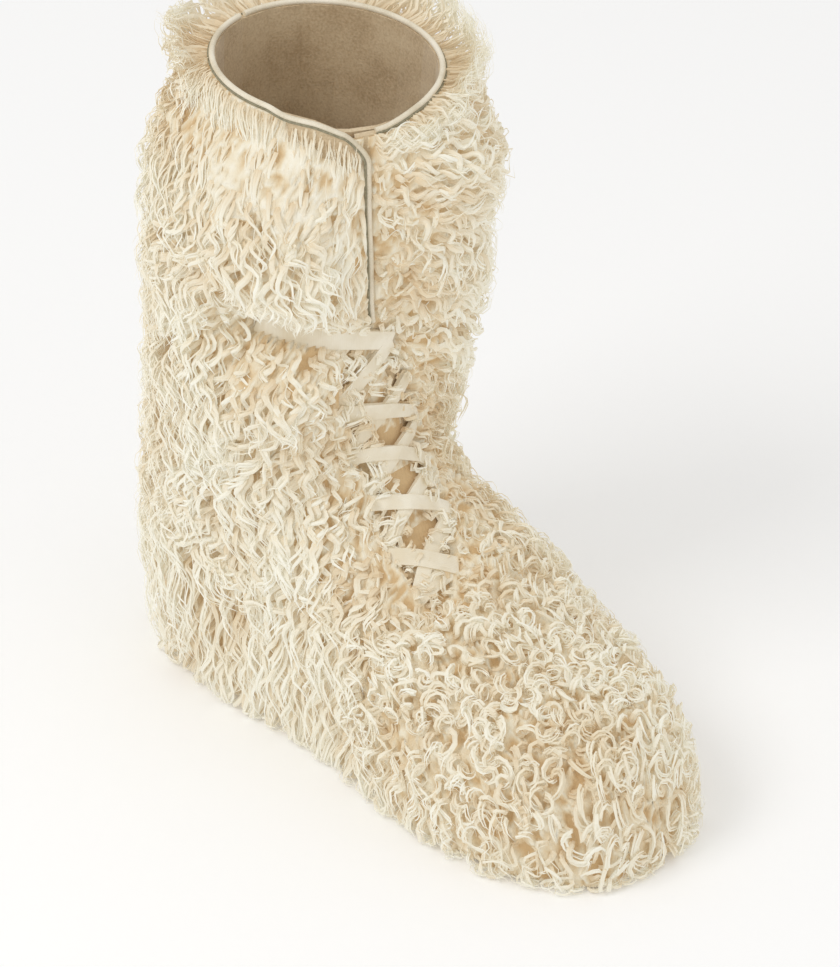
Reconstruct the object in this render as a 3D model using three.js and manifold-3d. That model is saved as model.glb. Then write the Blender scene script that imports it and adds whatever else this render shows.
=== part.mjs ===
// Sheepskin combat boot for the left foot, in millimetres.
// +X points to the toe, +Y to the outer side, +Z up. The origin is on the floor under the heel.
import * as THREE from "three";
import { mergeVertices } from "three/addons/utils/BufferGeometryUtils.js";
import Module from "manifold-3d";

const wasm = await Module();
wasm.setup();

// Driving dimensions.
const LAST_LENGTH = 262;
const BALL_WIDTH = 92;
const SHAFT_HEIGHT = 300;
const WALL = 2.5;
const CLEARANCE = 0.3;
const SOFT_CLEARANCE = 1.3;
const HEEL_REST = 42;

// The lasted shape is drawn at this size and scaled to the driving dimensions.
const PATTERN = { length: 262, ball: 92, shaft: 300 };

// Resolution of the faceted surfaces.
const AROUND = 20;
const LOCK_SIDES = 5;

// Sole.
const LEDGE = 3;
const WELT_STEP = 1.5;
const WELT_THICKNESS = 5;
const CUP_RISE = 2.5;
const HEEL_BREAST = 72;
const ARCH_END = 116;
const ARCH_HEIGHT = 9;
const SPRING_START = 214;
const TOE_SPRING = 8;
const LUG_GAP = 5;
const LUG_DEPTH = 4;
const LUG_SPINE = 9;
const HEEL_SLOTS = [14, 30, 54];
const FOREFOOT_SLOTS = [132, 148, 164, 180, 196, 212, 228, 243];
const INSOLE_THICKNESS = 3;
const LASTING_MARGIN = 9;

// Throat, lap and lacing. Stations count along the sections from the toe to the collar.
const THROAT_START = 6.85;
const LAP_START = { root: 16.9, free: 15.5 };
const LAP_ROOT = 24;
const LAP_OVERHANG = 5;
const LAP_CORNER = 7;
const LAP_GAP = 0.7;
const NOTCH_DEPTH = 0.4;
const BEAD_RADIUS = 1.3;
const EYELET_RADIUS = 2;
const LACE_WIDTH = 6.5;
const LACE_THICKNESS = 1.8;
const LACE_GAP = 1.5;
const STATION_LENGTH = 15.5;
const TONGUE_THICKNESS = 2.5;

// Wool.
const WOOL_FLOOR_GAP = 2;
const SEAM_GAP = 0.4;
const LOCK_ROWS = 10;
const LOCKS_PER_ROW = 5;
const DROOP_FROM = 62;
const DROOP = 1.35;
const BACK_SEAM = 1;

/** Turns rows of numbers into records with the named columns. */
function table(columns, rows) {
  return rows.map((row) => Object.fromEntries(columns.map((name, i) => [name, row[i]])));
}

// One row per section, from the toe tip to the collar. Each section is a closed ring that leans
// from its back (or bottom) point to its front (or top) point.
const SECTIONS = table(
  ["backX", "backZ", "frontX", "frontZ", "medial", "lateral", "widest", "low", "high", "centre", "wool"],
  [
    [262, 27.0, 262, 29, 1, 1, 0.4, 3.0, 2.2, -10, 13],
    [260, 22.0, 260, 38, 15, 14, 0.4, 3.2, 2.2, -10, 14],
    [254, 19.0, 254, 46, 27, 24, 0.38, 3.6, 2.2, -9, 15],
    [243, 16.5, 243, 52, 37, 33, 0.36, 4.2, 2.2, -7, 15],
    [225, 14.5, 225, 57, 45, 40, 0.34, 5.0, 2.2, -5, 16],
    [200, 13.0, 199, 62, 48, 44, 0.32, 5.0, 2.2, -3, 17],
    [175, 13.0, 172, 70, 47, 46, 0.31, 5.0, 2.2, -1, 19],
    [150, 15.0, 150, 82, 41, 45, 0.31, 5.0, 2.3, 0, 20],
    [122, 18.5, 136, 94, 35, 42, 0.33, 5.0, 2.3, 0, 20],
    [92, 22.0, 126, 105, 33, 38, 0.35, 4.6, 2.2, 0, 21],
    [58, 25.0, 118, 117, 33, 35, 0.4, 4.2, 2.1, 0, 22],
    [24, 25.5, 113, 130, 34, 34, 0.44, 3.2, 2.1, 0, 22],
    [5, 31.0, 110, 143, 36, 35, 0.47, 2.3, 2.0, 0, 22],
    [0, 53.0, 109, 157, 38, 37, 0.5, 2.0, 2.0, 0, 23],
    [3, 86.0, 109, 174, 40, 39, 0.5, 2.0, 2.0, 0, 24],
    [8, 121.0, 110, 193, 42, 41, 0.5, 2.0, 2.0, 1, 25],
    [11, 155.0, 111, 213, 43, 43, 0.5, 2.0, 2.0, 2, 26],
    [13, 192.0, 113, 233, 44, 44, 0.5, 2.0, 2.0, 3, 27],
    [14, 231.0, 115, 254, 45, 45, 0.5, 2.0, 2.0, 3, 28],
    [15, 268.0, 117, 276, 46, 46, 0.5, 2.0, 2.0, 4, 27],
    [16, 303.0, 119, 300, 46, 47, 0.5, 2.0, 2.0, 4, 12],
  ],
);
const COLLAR = SECTIONS.length - 1;

// Depth of the wool near the collar.
const WOOL_RIM = table(
  ["station", "depth"],
  [
    [19, 28],
    [19.55, 24],
    [20, 10],
  ],
);

// The throat's centre line, as a turn towards the inner side from the front, and its half width.
const THROAT = table(
  ["station", "turn", "half"],
  [
    [6.85, 0.32, 4],
    [7.4, 0.26, 8],
    [8.8, 0.12, 11],
    [10.4, 0.04, 11],
    [12.4, 0.06, 10],
    [14.2, 0.28, 6],
    [15.6, 0.48, 2],
    [17.5, 0.56, 2],
    [21, 0.69, 2],
  ],
);

// Width of the strip beside the throat that carries the lacing and no long wool.
const BARE = table(
  ["station", "medial", "lateral"],
  [
    [6.5, 8, 8],
    [7.1, 17, 17],
    [8.7, 26, 25],
    [12.4, 27, 26],
    [14, 26, 22],
    [15.3, 14, 14],
  ],
);

// Eyelet pairs, from the vamp up, as distances from the throat's centre line.
const EYELETS = table(
  ["station", "medial", "lateral", "laced"],
  [
    [7.35, 11, 11, true],
    [8.8, 19, 18, true],
    [10.4, 20, 19, true],
    [12.1, 20, 19, true],
    [13.6, 19, 16, true],
    [16.8, 6, 14, false],
    [17.8, 6, 14, false],
    [18.8, 6, 14, false],
  ],
);

// The top bar of the lace, from its outer eyelet round to its inner one.
const TOP_BAR = {
  outer: { station: 14.8, length: 12 },
  inner: { station: 16.35, length: -40 },
};

// Linear interpolation in a table by its station column.
function lookUp(rows, station, column) {
  const last = rows.length - 1;
  const next = Math.min(last, Math.max(1, rows.findIndex((row) => row.station >= station)));
  const after = station > rows[last].station ? last : next;
  const a = rows[after - 1];
  const b = rows[after];
  const share = THREE.MathUtils.clamp((station - a.station) / (b.station - a.station), 0, 1);
  return THREE.MathUtils.lerp(a[column], b[column], share);
}

// Smooth interpolation of one column of the sections.
function sectionValue(station, column) {
  const index = THREE.MathUtils.clamp(Math.floor(station), 0, COLLAR - 1);
  const share = station - index;
  const value = (i) => SECTIONS[THREE.MathUtils.clamp(i, 0, COLLAR)][column];
  const [p, q, r, s] = [value(index - 1), value(index), value(index + 1), value(index + 2)];
  const slopeIn = (r - p) / 2;
  const slopeOut = (s - q) / 2;
  if (share > 1) {
    return r + (r - q) * (share - 1);
  }
  const cubic = 2 * q - 2 * r + slopeIn + slopeOut;
  const square = -3 * q + 3 * r - 2 * slopeIn - slopeOut;
  return ((cubic * share + square) * share + slopeIn) * share + q;
}

const ALONG = LAST_LENGTH / PATTERN.length;
const ACROSS = BALL_WIDTH / PATTERN.ball;
const UPWARD = SHAFT_HEIGHT / PATTERN.shaft;

/** Point of the lasted surface. Angle 0 is the back or bottom, PI the front or top. */
function lastPoint(station, angle) {
  const get = (column) => sectionValue(station, column);
  const c = Math.cos(angle);
  const s = Math.sin(angle);
  const squareness = c >= 0 ? get("low") : get("high");
  const run = Math.abs(c) ** (2 / squareness);
  const widest = get("widest");
  const share = c >= 0 ? widest * (1 - run) : widest + (1 - widest) * run;
  const half = s >= 0 ? get("medial") : get("lateral");
  const side = half * Math.sign(s) * Math.abs(s) ** (2 / squareness);
  const x = THREE.MathUtils.lerp(get("backX"), get("frontX"), share);
  const z = THREE.MathUtils.lerp(get("backZ"), get("frontZ"), share);
  return new THREE.Vector3(x * ALONG, (get("centre") - side) * ACROSS, z * UPWARD);
}

/** Outward normal of the lasted surface, by central differences. */
function lastNormal(station, angle) {
  const step = 0.12;
  const low = Math.max(0, station - step);
  const along = lastPoint(station + step, angle).sub(lastPoint(low, angle));
  const around = lastPoint(station, angle + step).sub(lastPoint(station, angle - step));
  return along.cross(around).normalize();
}

const NORMAL_SIGN = Math.sign(
  lastNormal(14, Math.PI).dot(lastPoint(14, Math.PI).sub(lastPoint(14, 0))),
);

/** Point at a distance outside (or, if negative, inside) the lasted surface. */
function surface(station, angle, offset) {
  const normal = lastNormal(station, angle).multiplyScalar(NORMAL_SIGN * offset);
  return lastPoint(station, angle).add(normal);
}

// Angle of the throat's centre line.
function throatAngle(station) {
  return Math.PI - lookUp(THROAT, station, "turn");
}

/** Angle at a distance across from the throat's centre line, positive to the outer side. */
function angleAt(station, length) {
  const middle = throatAngle(station);
  const step = 0.05;
  const a = lastPoint(station, middle - step);
  const b = lastPoint(station, middle + step);
  return middle + (length * 2 * step) / a.distanceTo(b);
}

/** Station of the collar's rim, straight between the facets, with a dip to the notch. */
function rimStation(angle) {
  const dip = (at) => {
    const away = at - angleAt(COLLAR, LAP_OVERHANG);
    const reach = away > 0 ? 0.55 : 0.3;
    return COLLAR - NOTCH_DEPTH * Math.exp(-((away / reach) ** 2));
  };
  const facet = (2 * Math.PI) / AROUND;
  const low = Math.floor(angle / facet);
  return THREE.MathUtils.lerp(dip(low * facet), dip((low + 1) * facet), angle / facet - low);
}

// Builds an indexed geometry from points and triangles.
function indexed(points, triangles) {
  const geometry = new THREE.BufferGeometry().setFromPoints(points);
  geometry.setIndex(triangles.flat());
  return geometry;
}

// Turns a closed geometry into a solid, facing out.
function solid(geometry) {
  const bare = geometry.clone();
  bare.deleteAttribute("normal");
  bare.deleteAttribute("uv");
  const merged = mergeVertices(bare, 1e-4);
  const position = merged.getAttribute("position");
  const triVerts = Uint32Array.from(merged.index.array);
  const build = (tris) =>
    new wasm.Manifold(
      new wasm.Mesh({ numProp: 3, vertProperties: Float32Array.from(position.array), triVerts: tris }),
    );
  const body = build(triVerts);
  if (body.volume() > 0) {
    return body;
  }
  const flipped = triVerts.slice();
  for (let i = 0; i < flipped.length; i += 3) {
    [flipped[i + 1], flipped[i + 2]] = [flipped[i + 2], flipped[i + 1]];
  }
  return build(flipped);
}

// Joins solids into one.
function join(bodies) {
  return bodies.reduce((sum, body) => sum.add(body));
}

// Keeps the largest connected body of a solid, of those on one side if a side is given.
function largest(body, side = 0) {
  const middle = (piece) => (piece.boundingBox().min[1] + piece.boundingBox().max[1]) / 2;
  const pieces = body.decompose().filter((piece) => side * middle(piece) >= 0);
  return pieces.reduce((best, piece) => (piece.volume() > best.volume() ? piece : best));
}

// Quads between two rows of point indices, closed into a ring or open.
function strip(rowA, rowB, closed) {
  const count = rowA.length;
  const quads = closed ? count : count - 1;
  const out = [];
  for (let i = 0; i < quads; i += 1) {
    const j = (i + 1) % count;
    out.push([rowA[i], rowB[i], rowB[j]], [rowA[i], rowB[j], rowA[j]]);
  }
  return out;
}

/**
 * Closed loft over the whole last at a distance from its surface.
 * distance(station, angle) gives the offset, raise moves the rim past the collar, and
 * settle(point) may move each point.
 */
function loft(distance, raise = 0, extraStations = [], settle = (point) => point) {
  const stations = [...Array(COLLAR).keys(), ...extraStations];
  const points = [];
  const rows = [];
  const addRow = (stationAt) => {
    const row = [];
    for (let i = 0; i < AROUND; i += 1) {
      const angle = (i / AROUND) * 2 * Math.PI;
      const station = stationAt(angle);
      row.push(points.push(settle(surface(station, angle, distance(station, angle)))) - 1);
    }
    rows.push(row);
  };
  stations.forEach((station) => addRow(() => station));
  addRow((angle) => rimStation(angle) + raise);
  const triangles = rows.slice(1).flatMap((row, i) => strip(rows[i], row, true));
  for (const [row, flip] of [[rows[0], true], [rows[rows.length - 1], false]]) {
    const centre = new THREE.Vector3();
    row.forEach((i) => centre.addScaledVector(points[i], 1 / row.length));
    const tip = points.push(centre) - 1;
    row.forEach((i, k) => {
      const j = row[(k + 1) % row.length];
      triangles.push(flip ? [tip, i, j] : [tip, j, i]);
    });
  }
  return solid(indexed(points, triangles));
}

/**
 * Closed sheet over a region of the last, between an inner and an outer offset.
 * place(s, t) gives the station and angle for shares 0 to 1 along and across.
 */
function sheet(place, along, across, inner, outer) {
  const points = [];
  const grids = [inner, outer].map((offset) => {
    const grid = [];
    for (let i = 0; i <= along; i += 1) {
      const row = [];
      for (let j = 0; j <= across; j += 1) {
        const { station, angle } = place(i / along, j / across);
        row.push(points.push(surface(station, angle, offset)) - 1);
      }
      grid.push(row);
    }
    return grid;
  });
  const [under, over] = grids;
  const triangles = [];
  for (let i = 0; i < along; i += 1) {
    triangles.push(...strip(over[i], over[i + 1], false));
    triangles.push(...strip(under[i + 1], under[i], false));
  }
  const border = (grid) => [
    ...grid[0],
    ...grid.slice(1).map((row) => row[across]),
    ...grid[along].slice(0, across).reverse(),
    ...grid.slice(1, along).map((row) => row[0]).reverse(),
  ];
  triangles.push(...strip(border(under), border(over), true));
  return solid(indexed(points, triangles));
}

/** Region beside the throat's centre line, between two distances given by functions. */
function besideThroat(from, to, low, high) {
  return (s, t) => {
    const station = THREE.MathUtils.lerp(from, to, s);
    const length = THREE.MathUtils.lerp(low(station), high(station), t);
    return { station, angle: angleAt(station, length) };
  };
}

// Extrudes a closed outline of [a, b] points over a depth, along the outline's own Z.
function extrude(outline, depth) {
  const shape = new THREE.Shape(outline.map(([a, b]) => new THREE.Vector2(a, b)));
  return new THREE.ExtrudeGeometry(shape, { depth, bevelEnabled: false, steps: 1 });
}

// Upright prism over a plan outline.
function prism(outline, bottom, top) {
  return solid(extrude(outline, top - bottom).translate(0, 0, bottom));
}

// Prism over a side view, as wide as asked.
function sideCut(profile, width) {
  const geometry = extrude(profile, width);
  return solid(geometry.rotateX(Math.PI / 2).translate(0, width / 2, 0));
}

function box(sizeX, sizeY, sizeZ, x, y, z) {
  return solid(new THREE.BoxGeometry(sizeX, sizeY, sizeZ).translate(x, y, z));
}

/** Plan outline of the sole: the last's own widths plus a ledge. */
function soleOutline(ledge) {
  const foot = SECTIONS.slice(1, 12);
  const heel = foot[foot.length - 1];
  const medial = foot.map((row) => [row.backX * ALONG, (row.centre - row.medial) * ACROSS - ledge]);
  const lateral = foot.map((row) => [row.backX * ALONG, (row.centre + row.lateral) * ACROSS + ledge]);
  const tip = [(SECTIONS[0].backX + ledge) * ALONG, SECTIONS[0].centre * ACROSS];
  const arc = [];
  const steps = 8;
  for (let i = 1; i < steps; i += 1) {
    const turn = Math.PI / 2 + (i / steps) * Math.PI;
    const reach = heel.backX * ALONG + ledge;
    const half = heel.lateral * ACROSS + ledge;
    arc.push([heel.backX * ALONG + reach * Math.cos(turn), half * Math.sin(turn)]);
  }
  return [tip, ...lateral, ...arc, ...medial.reverse()];
}

// Height of the last's underside along the foot.
function undersideHeight(x) {
  const heights = SECTIONS.slice(0, 12).map((row) => ({
    station: -row.backX * ALONG,
    height: row.backZ * UPWARD,
  }));
  return lookUp(heights, -x, "height");
}

// Side view of a layer that follows the last's underside, shifted by two heights.
function layerProfile(low, high) {
  const marks = SECTIONS.slice(0, 12).map((row) => row.backX * ALONG);
  const xs = [LAST_LENGTH + 10, ...marks, -10];
  const upper = xs.map((x) => [x, undersideHeight(x) + high]);
  const lower = xs.map((x) => [x, undersideHeight(x) + low]).reverse();
  return [...upper, ...lower];
}

// Side view of the block under the welt: heel, arch, tread and toe spring.
function blockProfile() {
  const top = layerProfile(0, CUP_RISE - WELT_THICKNESS + 0.5).slice(0, 14);
  const toe = LAST_LENGTH + 10;
  return [
    ...top,
    [-10, 0],
    [HEEL_BREAST - 3, 0],
    [HEEL_BREAST, ARCH_HEIGHT],
    [ARCH_END - 8, ARCH_HEIGHT - 2],
    [ARCH_END + 4, 0],
    [SPRING_START, 0],
    [(SPRING_START + toe) / 2, TOE_SPRING * 0.35],
    [toe, TOE_SPRING],
  ];
}

function makeOutsole() {
  const wide = BALL_WIDTH * 2;
  const block = prism(soleOutline(LEDGE - WELT_STEP), -5, 40).intersect(sideCut(blockProfile(), wide));
  const welt = prism(soleOutline(LEDGE), -5, 40).intersect(
    sideCut(layerProfile(CUP_RISE - WELT_THICKNESS, CUP_RISE), wide),
  );
  const slots = [...HEEL_SLOTS, ...FOREFOOT_SLOTS].flatMap((x) => {
    const pastStart = Math.max(0, x - SPRING_START) / (LAST_LENGTH - SPRING_START);
    const lift = pastStart * TOE_SPRING * 0.8;
    return [-1, 1].map((side) => {
      const middle = side * (LUG_SPINE + BALL_WIDTH / 2) - 3;
      return box(LUG_GAP, BALL_WIDTH, LUG_DEPTH * 2, x, middle, lift);
    });
  });
  const seat = loft(() => CLEARANCE, 0.1);
  return largest(block.add(welt).subtract(join(slots)).subtract(seat));
}

function makeInsole() {
  const inside = loft(() => -(WALL + 0.5));
  const layer = sideCut(layerProfile(WALL - 1, WALL + 0.5 + INSOLE_THICKNESS), BALL_WIDTH * 2);
  return largest(inside.intersect(layer).intersect(prism(soleOutline(-2), -5, 60)));
}

// Station of the lap's lower edge, which slants up to its root.
function lapStart(length) {
  const share = (length + LAP_ROOT) / (LAP_ROOT + LAP_OVERHANG);
  return THREE.MathUtils.lerp(LAP_START.root, LAP_START.free, share);
}

// The lap: the inner panel's edge, folded over the outer panel above the lacing.
function makeLap() {
  const free = LAP_OVERHANG;
  const corner = (station, t) => {
    const nearEdge = Math.max(0, t * (LAP_ROOT + free) - (LAP_ROOT + free - LAP_CORNER));
    const round = LAP_CORNER - Math.sqrt(Math.max(0, LAP_CORNER ** 2 - nearEdge ** 2));
    return station - round / 19;
  };
  const region = (low, high, inset) => (s, t) => {
    const length = THREE.MathUtils.lerp(low, high, t);
    const start = lapStart(length);
    const angle = angleAt(THREE.MathUtils.lerp(start, COLLAR, s), length);
    const top = corner(rimStation(angle), high === free ? t : 0);
    return { station: THREE.MathUtils.lerp(start + inset, top - inset, s), angle };
  };
  const sheetBody = sheet(region(-LAP_ROOT, free, 0), 4, 6, LAP_GAP, LAP_GAP + WALL);
  const rootBody = sheet(region(-LAP_ROOT + 1, -LAP_ROOT + 10, 0.06), 4, 1, -WALL / 2, LAP_GAP * 2);
  return sheetBody.add(rootBody);
}

// Short round cutter through the wall at an eyelet.
function eyeletCutter(station, length) {
  const angle = angleAt(station, length);
  const inner = surface(station, angle, -WALL - 1.5);
  const outer = surface(station, angle, WALL + 2.5);
  const cutter = new THREE.CylinderGeometry(EYELET_RADIUS, EYELET_RADIUS, inner.distanceTo(outer), 6);
  const turn = new THREE.Quaternion().setFromUnitVectors(
    new THREE.Vector3(0, 1, 0),
    outer.clone().sub(inner).normalize(),
  );
  const middle = inner.clone().add(outer).multiplyScalar(0.5);
  cutter.applyMatrix4(new THREE.Matrix4().compose(middle, turn, new THREE.Vector3(1, 1, 1)));
  return solid(cutter);
}

function makeUpper() {
  const shell = loft(() => 0).subtract(loft(() => -WALL, 0.25));
  const half = (station) => lookUp(THROAT, station, "half");
  const throat = sheet(
    besideThroat(THROAT_START, COLLAR + 0.6, (u) => -half(u), half),
    12,
    1,
    -WALL - 3,
    5,
  );
  const underCut = prism(soleOutline(-LASTING_MARGIN), -5, 60).intersect(
    sideCut(layerProfile(-8, WALL + 1.2), BALL_WIDTH * 2),
  );
  const holes = EYELETS.flatMap((pair) => [
    eyeletCutter(pair.station, -pair.medial),
    eyeletCutter(pair.station, pair.lateral),
  ]);
  holes.push(...Object.values(TOP_BAR).map((end) => eyeletCutter(end.station, end.length)));
  return largest(shell.subtract(throat).subtract(underCut).add(makeLap()).subtract(join(holes)));
}

function makeTongue() {
  const outer = -WALL - SOFT_CLEARANCE;
  const half = (station) => (station < 8 ? 18 + (station - 6.3) * 6 : 28);
  const region = besideThroat(6.3, COLLAR - 0.35, (u) => -half(u), half);
  return sheet(region, 14, 4, outer - TONGUE_THICKNESS, outer);
}

/**
 * Flat lace from one place on the surface to another, following the surface just above it.
 * The options are its lift, the number of steps along it, its width and its thickness.
 */
function laceBar(from, to, options = {}) {
  const { lift = 0, steps = 4, width = LACE_WIDTH, thickness = LACE_THICKNESS } = options;
  const low = LACE_GAP + lift;
  const place = (s, t) => {
    const station = THREE.MathUtils.lerp(from.station, to.station, s);
    const length = THREE.MathUtils.lerp(from.length, to.length, s);
    const slope = Math.abs(to.station - from.station) < 0.01 ? 0 : Math.sign(to.length - from.length);
    const shift = (t - 0.5) * width;
    const lean = slope * 0.45;
    return {
      station: station + (shift * Math.sqrt(1 - lean * lean)) / STATION_LENGTH,
      angle: angleAt(station, length - shift * lean),
    };
  };
  return sheet(place, steps, 1, low, low + thickness);
}

function makeLace() {
  const pairs = EYELETS.filter((pair) => pair.laced);
  const medial = pairs.map((pair) => ({ station: pair.station, length: -pair.medial }));
  const lateral = pairs.map((pair) => ({ station: pair.station, length: pair.lateral }));
  const bars = [laceBar(medial[0], lateral[0])];
  for (let i = 1; i < pairs.length; i += 1) {
    bars.push(laceBar(medial[i - 1], lateral[i]));
    bars.push(laceBar(lateral[i - 1], medial[i], { lift: LACE_THICKNESS * 0.6 }));
  }
  const last = medial[medial.length - 1];
  bars.push(laceBar(last, TOP_BAR.outer), laceBar(TOP_BAR.outer, TOP_BAR.inner, { steps: 7 }));
  return join(bars);
}

// Round bead along a curve.
function bead(points, steps) {
  const curve = new THREE.CatmullRomCurve3(points);
  const ring = new THREE.Shape().absarc(0, 0, BEAD_RADIUS, 0, Math.PI * 2);
  const geometry = new THREE.ExtrudeGeometry(ring, {
    steps,
    bevelEnabled: false,
    extrudePath: curve,
    curveSegments: 3,
  });
  return solid(geometry);
}

// Point of the bead that sits on the collar's rim.
function rimBeadPoint(angle, offset) {
  const rise = BEAD_RADIUS + CLEARANCE + 0.15;
  return surface(rimStation(angle), angle, offset).add(new THREE.Vector3(0, 0, rise));
}

function makeMedialBinding() {
  const points = [];
  const lapRoot = angleAt(COLLAR, -LAP_ROOT);
  const free = angleAt(COLLAR, LAP_OVERHANG);
  const steps = 16;
  for (let i = 0; i <= steps; i += 1) {
    const angle = THREE.MathUtils.lerp(0.02, free - 0.12, i / steps);
    const onLap = THREE.MathUtils.smoothstep(angle, lapRoot - 0.25, lapRoot);
    const offset = THREE.MathUtils.lerp(-WALL / 2, LAP_GAP + WALL / 2, onLap);
    const lift = onLap > 0.05 && onLap < 0.95 ? 0.9 : 0;
    points.push(rimBeadPoint(angle, offset).add(new THREE.Vector3(0, 0, lift)));
  }
  const reach = LAP_OVERHANG + BEAD_RADIUS + CLEARANCE + 0.15;
  const rim = rimStation(free);
  const drop = rim - LAP_START.free;
  for (const share of [0.07, 0.2, 0.4, 0.6, 0.8, 0.93, 1]) {
    const station = rim - drop * share;
    points.push(surface(station, angleAt(station, reach), LAP_GAP + WALL / 2));
  }
  return bead(points, 34);
}

function makeLateralBinding() {
  const points = [];
  const start = angleAt(COLLAR, LAP_OVERHANG) + 0.14;
  const steps = 14;
  for (let i = 0; i <= steps; i += 1) {
    points.push(rimBeadPoint(THREE.MathUtils.lerp(2 * Math.PI - 0.04, start, i / steps), -WALL / 2));
  }
  return bead(points, 22);
}

// Thickness of the wool at a place on the last.
function woolDepth(station, angle) {
  const depth = station > COLLAR - 1 ? lookUp(WOOL_RIM, station, "depth") : sectionValue(station, "wool");
  const away = Math.abs(angle - throatAngle(station));
  const thin = station > LAP_START.free ? 0.25 : 0.6;
  return depth * (1 - thin * Math.exp(-((away / 0.8) ** 2)));
}

// Direction in which the wool lies: down the shaft and the sides, forward on top of the toe.
function woolFlow(normal) {
  const down = new THREE.Vector3(0.35, 0, -1);
  const flow = down.addScaledVector(normal, -down.dot(normal));
  return flow.normalize();
}

/** One curved, tapering lock of wool. */
function lock(station, angle, size, swing) {
  const depth = woolDepth(station, angle);
  const root = surface(station, angle, depth * 0.45);
  const normal = surface(station, angle, depth).sub(surface(station, angle, 0)).normalize();
  const flow = woolFlow(normal);
  const across = new THREE.Vector3().crossVectors(normal, flow);
  const shape = table(
    ["out", "down", "side", "radius"],
    [
      [0, -6, 0, 10],
      [depth * 0.55, 7, swing * 3, 8],
    ],
  );
  const place = (out, downward, side) =>
    root
      .clone()
      .addScaledVector(normal, out * size)
      .addScaledVector(flow, downward * size)
      .addScaledVector(across, side * size);
  const points = [];
  const rows = shape.map((row) => {
    const centre = place(row.out, row.down, row.side);
    const ring = [];
    for (let i = 0; i < LOCK_SIDES; i += 1) {
      const turn = (i / LOCK_SIDES) * 2 * Math.PI;
      const point = centre
        .clone()
        .addScaledVector(across, Math.cos(turn) * row.radius * size)
        .addScaledVector(normal.clone().sub(flow).normalize(), Math.sin(turn) * row.radius * size);
      ring.push(points.push(point) - 1);
    }
    return ring;
  });
  const tip = points.push(place(depth * 0.6, 26, swing * 8)) - 1;
  const [base, middle] = rows;
  const triangles = strip(base, middle, true);
  middle.forEach((i, k) => triangles.push([i, tip, middle[(k + 1) % LOCK_SIDES]]));
  base.slice(1, -1).forEach((i, k) => triangles.push([base[0], i, base[k + 2]]));
  return solid(indexed(points, triangles));
}

// Places of the locks, in staggered rows around the boot.
function lockPlaces() {
  const places = [];
  for (let row = 0; row < LOCK_ROWS; row += 1) {
    const station = 0.9 + (row / (LOCK_ROWS - 1)) * (COLLAR - 1.9);
    for (let i = 0; i < LOCKS_PER_ROW; i += 1) {
      const share = (i + (row % 2) * 0.5 + 0.25) / LOCKS_PER_ROW;
      const angle = station < 11 ? 1.15 + share * 4 : share * 2 * Math.PI;
      const size = 1 - 0.18 * Math.sin(row * 2.3 + i * 1.7);
      const swing = Math.sin(row * 1.3 + i * 2.1) > 0 ? 1 : -1;
      places.push({ station, angle, size: station < 4 ? size * 0.8 : size, swing });
    }
  }
  return places;
}

// Half space on one side of the seam between vamp and quarters, in the side view.
function seamHalf(front) {
  const low = new THREE.Vector2(112, 22);
  const high = new THREE.Vector2(150, 82);
  const along = high.clone().sub(low).normalize();
  const normal = new THREE.Vector2(along.y, -along.x).multiplyScalar(front ? 1 : -1);
  const reach = 500;
  const start = low.clone().addScaledVector(normal, SEAM_GAP / 2);
  const corners = [
    start.clone().addScaledVector(along, -reach),
    start.clone().addScaledVector(along, reach),
    start.clone().addScaledVector(along, reach).addScaledVector(normal, reach),
    start.clone().addScaledVector(along, -reach).addScaledVector(normal, reach),
  ];
  return sideCut(corners.map((corner) => [corner.x, corner.y]), 400);
}

function makeFleece() {
  const hang = (point) => point.setZ(Math.min(point.z, DROOP_FROM - (DROOP_FROM - point.z) * DROOP));
  const outer = loft(woolDepth, -0.03, [COLLAR - 1 + 0.55], hang);
  const bare = (column, sign) => (station) => sign * lookUp(BARE, station, column);
  const lacing = sheet(besideThroat(6.5, 15.4, bare("medial", -1), bare("lateral", 1)), 12, 2, -1, 60);
  const beadStrip = sheet(
    besideThroat(15, COLLAR + 0.6, () => LAP_OVERHANG - 4, () => LAP_OVERHANG + 7),
    6,
    1,
    -1,
    60,
  );
  const lapRoom = sheet(
    besideThroat(LAP_START.free - 0.1, COLLAR + 0.6, () => -LAP_ROOT - 1.5, () => LAP_OVERHANG + 2),
    6,
    5,
    -1,
    WALL + 1.2,
  );
  const soleRoom = prism(soleOutline(LEDGE + 0.4), -20, 60).intersect(
    sideCut(layerProfile(-60, CUP_RISE + 0.4), 400),
  );
  const floor = box(900, 900, 200, 0, 0, WOOL_FLOOR_GAP - 100);
  const { outer: barStart, inner: barEnd } = TOP_BAR;
  const pastEnd = { station: barEnd.station + 0.06, length: barEnd.length - 2 };
  const barRoom = laceBar(barStart, pastEnd, {
    lift: -1,
    steps: 7,
    width: LACE_WIDTH + 4,
    thickness: 60,
  });
  const room = [loft(() => CLEARANCE, 0.3), lacing, beadStrip, lapRoom, barRoom, soleRoom, floor];
  const cut = (body) => room.reduce((rest, cutter) => rest.subtract(cutter), body);
  const places = lockPlaces();
  const backSeam = box(400, SEAM_GAP, 900, -140, BACK_SEAM, 300);
  const vamp = (body) => body.intersect(seamHalf(true));
  const quarters = (body) => body.intersect(seamHalf(false)).subtract(backSeam);
  const onVamp = (place) => place.station < 7.6;
  const onMedial = (place) => !onVamp(place) && isMedial(place);
  const onLateral = (place) => !onVamp(place) && !isMedial(place);
  const panels = [
    { name: "fleece_vamp", side: 0, inside: onVamp, trim: vamp },
    { name: "fleece_quarter_medial", side: -1, inside: onMedial, trim: quarters },
    { name: "fleece_quarter_lateral", side: 1, inside: onLateral, trim: quarters },
  ];
  return panels.map((panel) => {
    const locks = places.filter(panel.inside).map((p) => lock(p.station, p.angle, p.size, p.swing));
    const body = panel.trim(cut(join([outer, ...locks])));
    return { name: panel.name, body: largest(body, panel.side) };
  });
}

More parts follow.
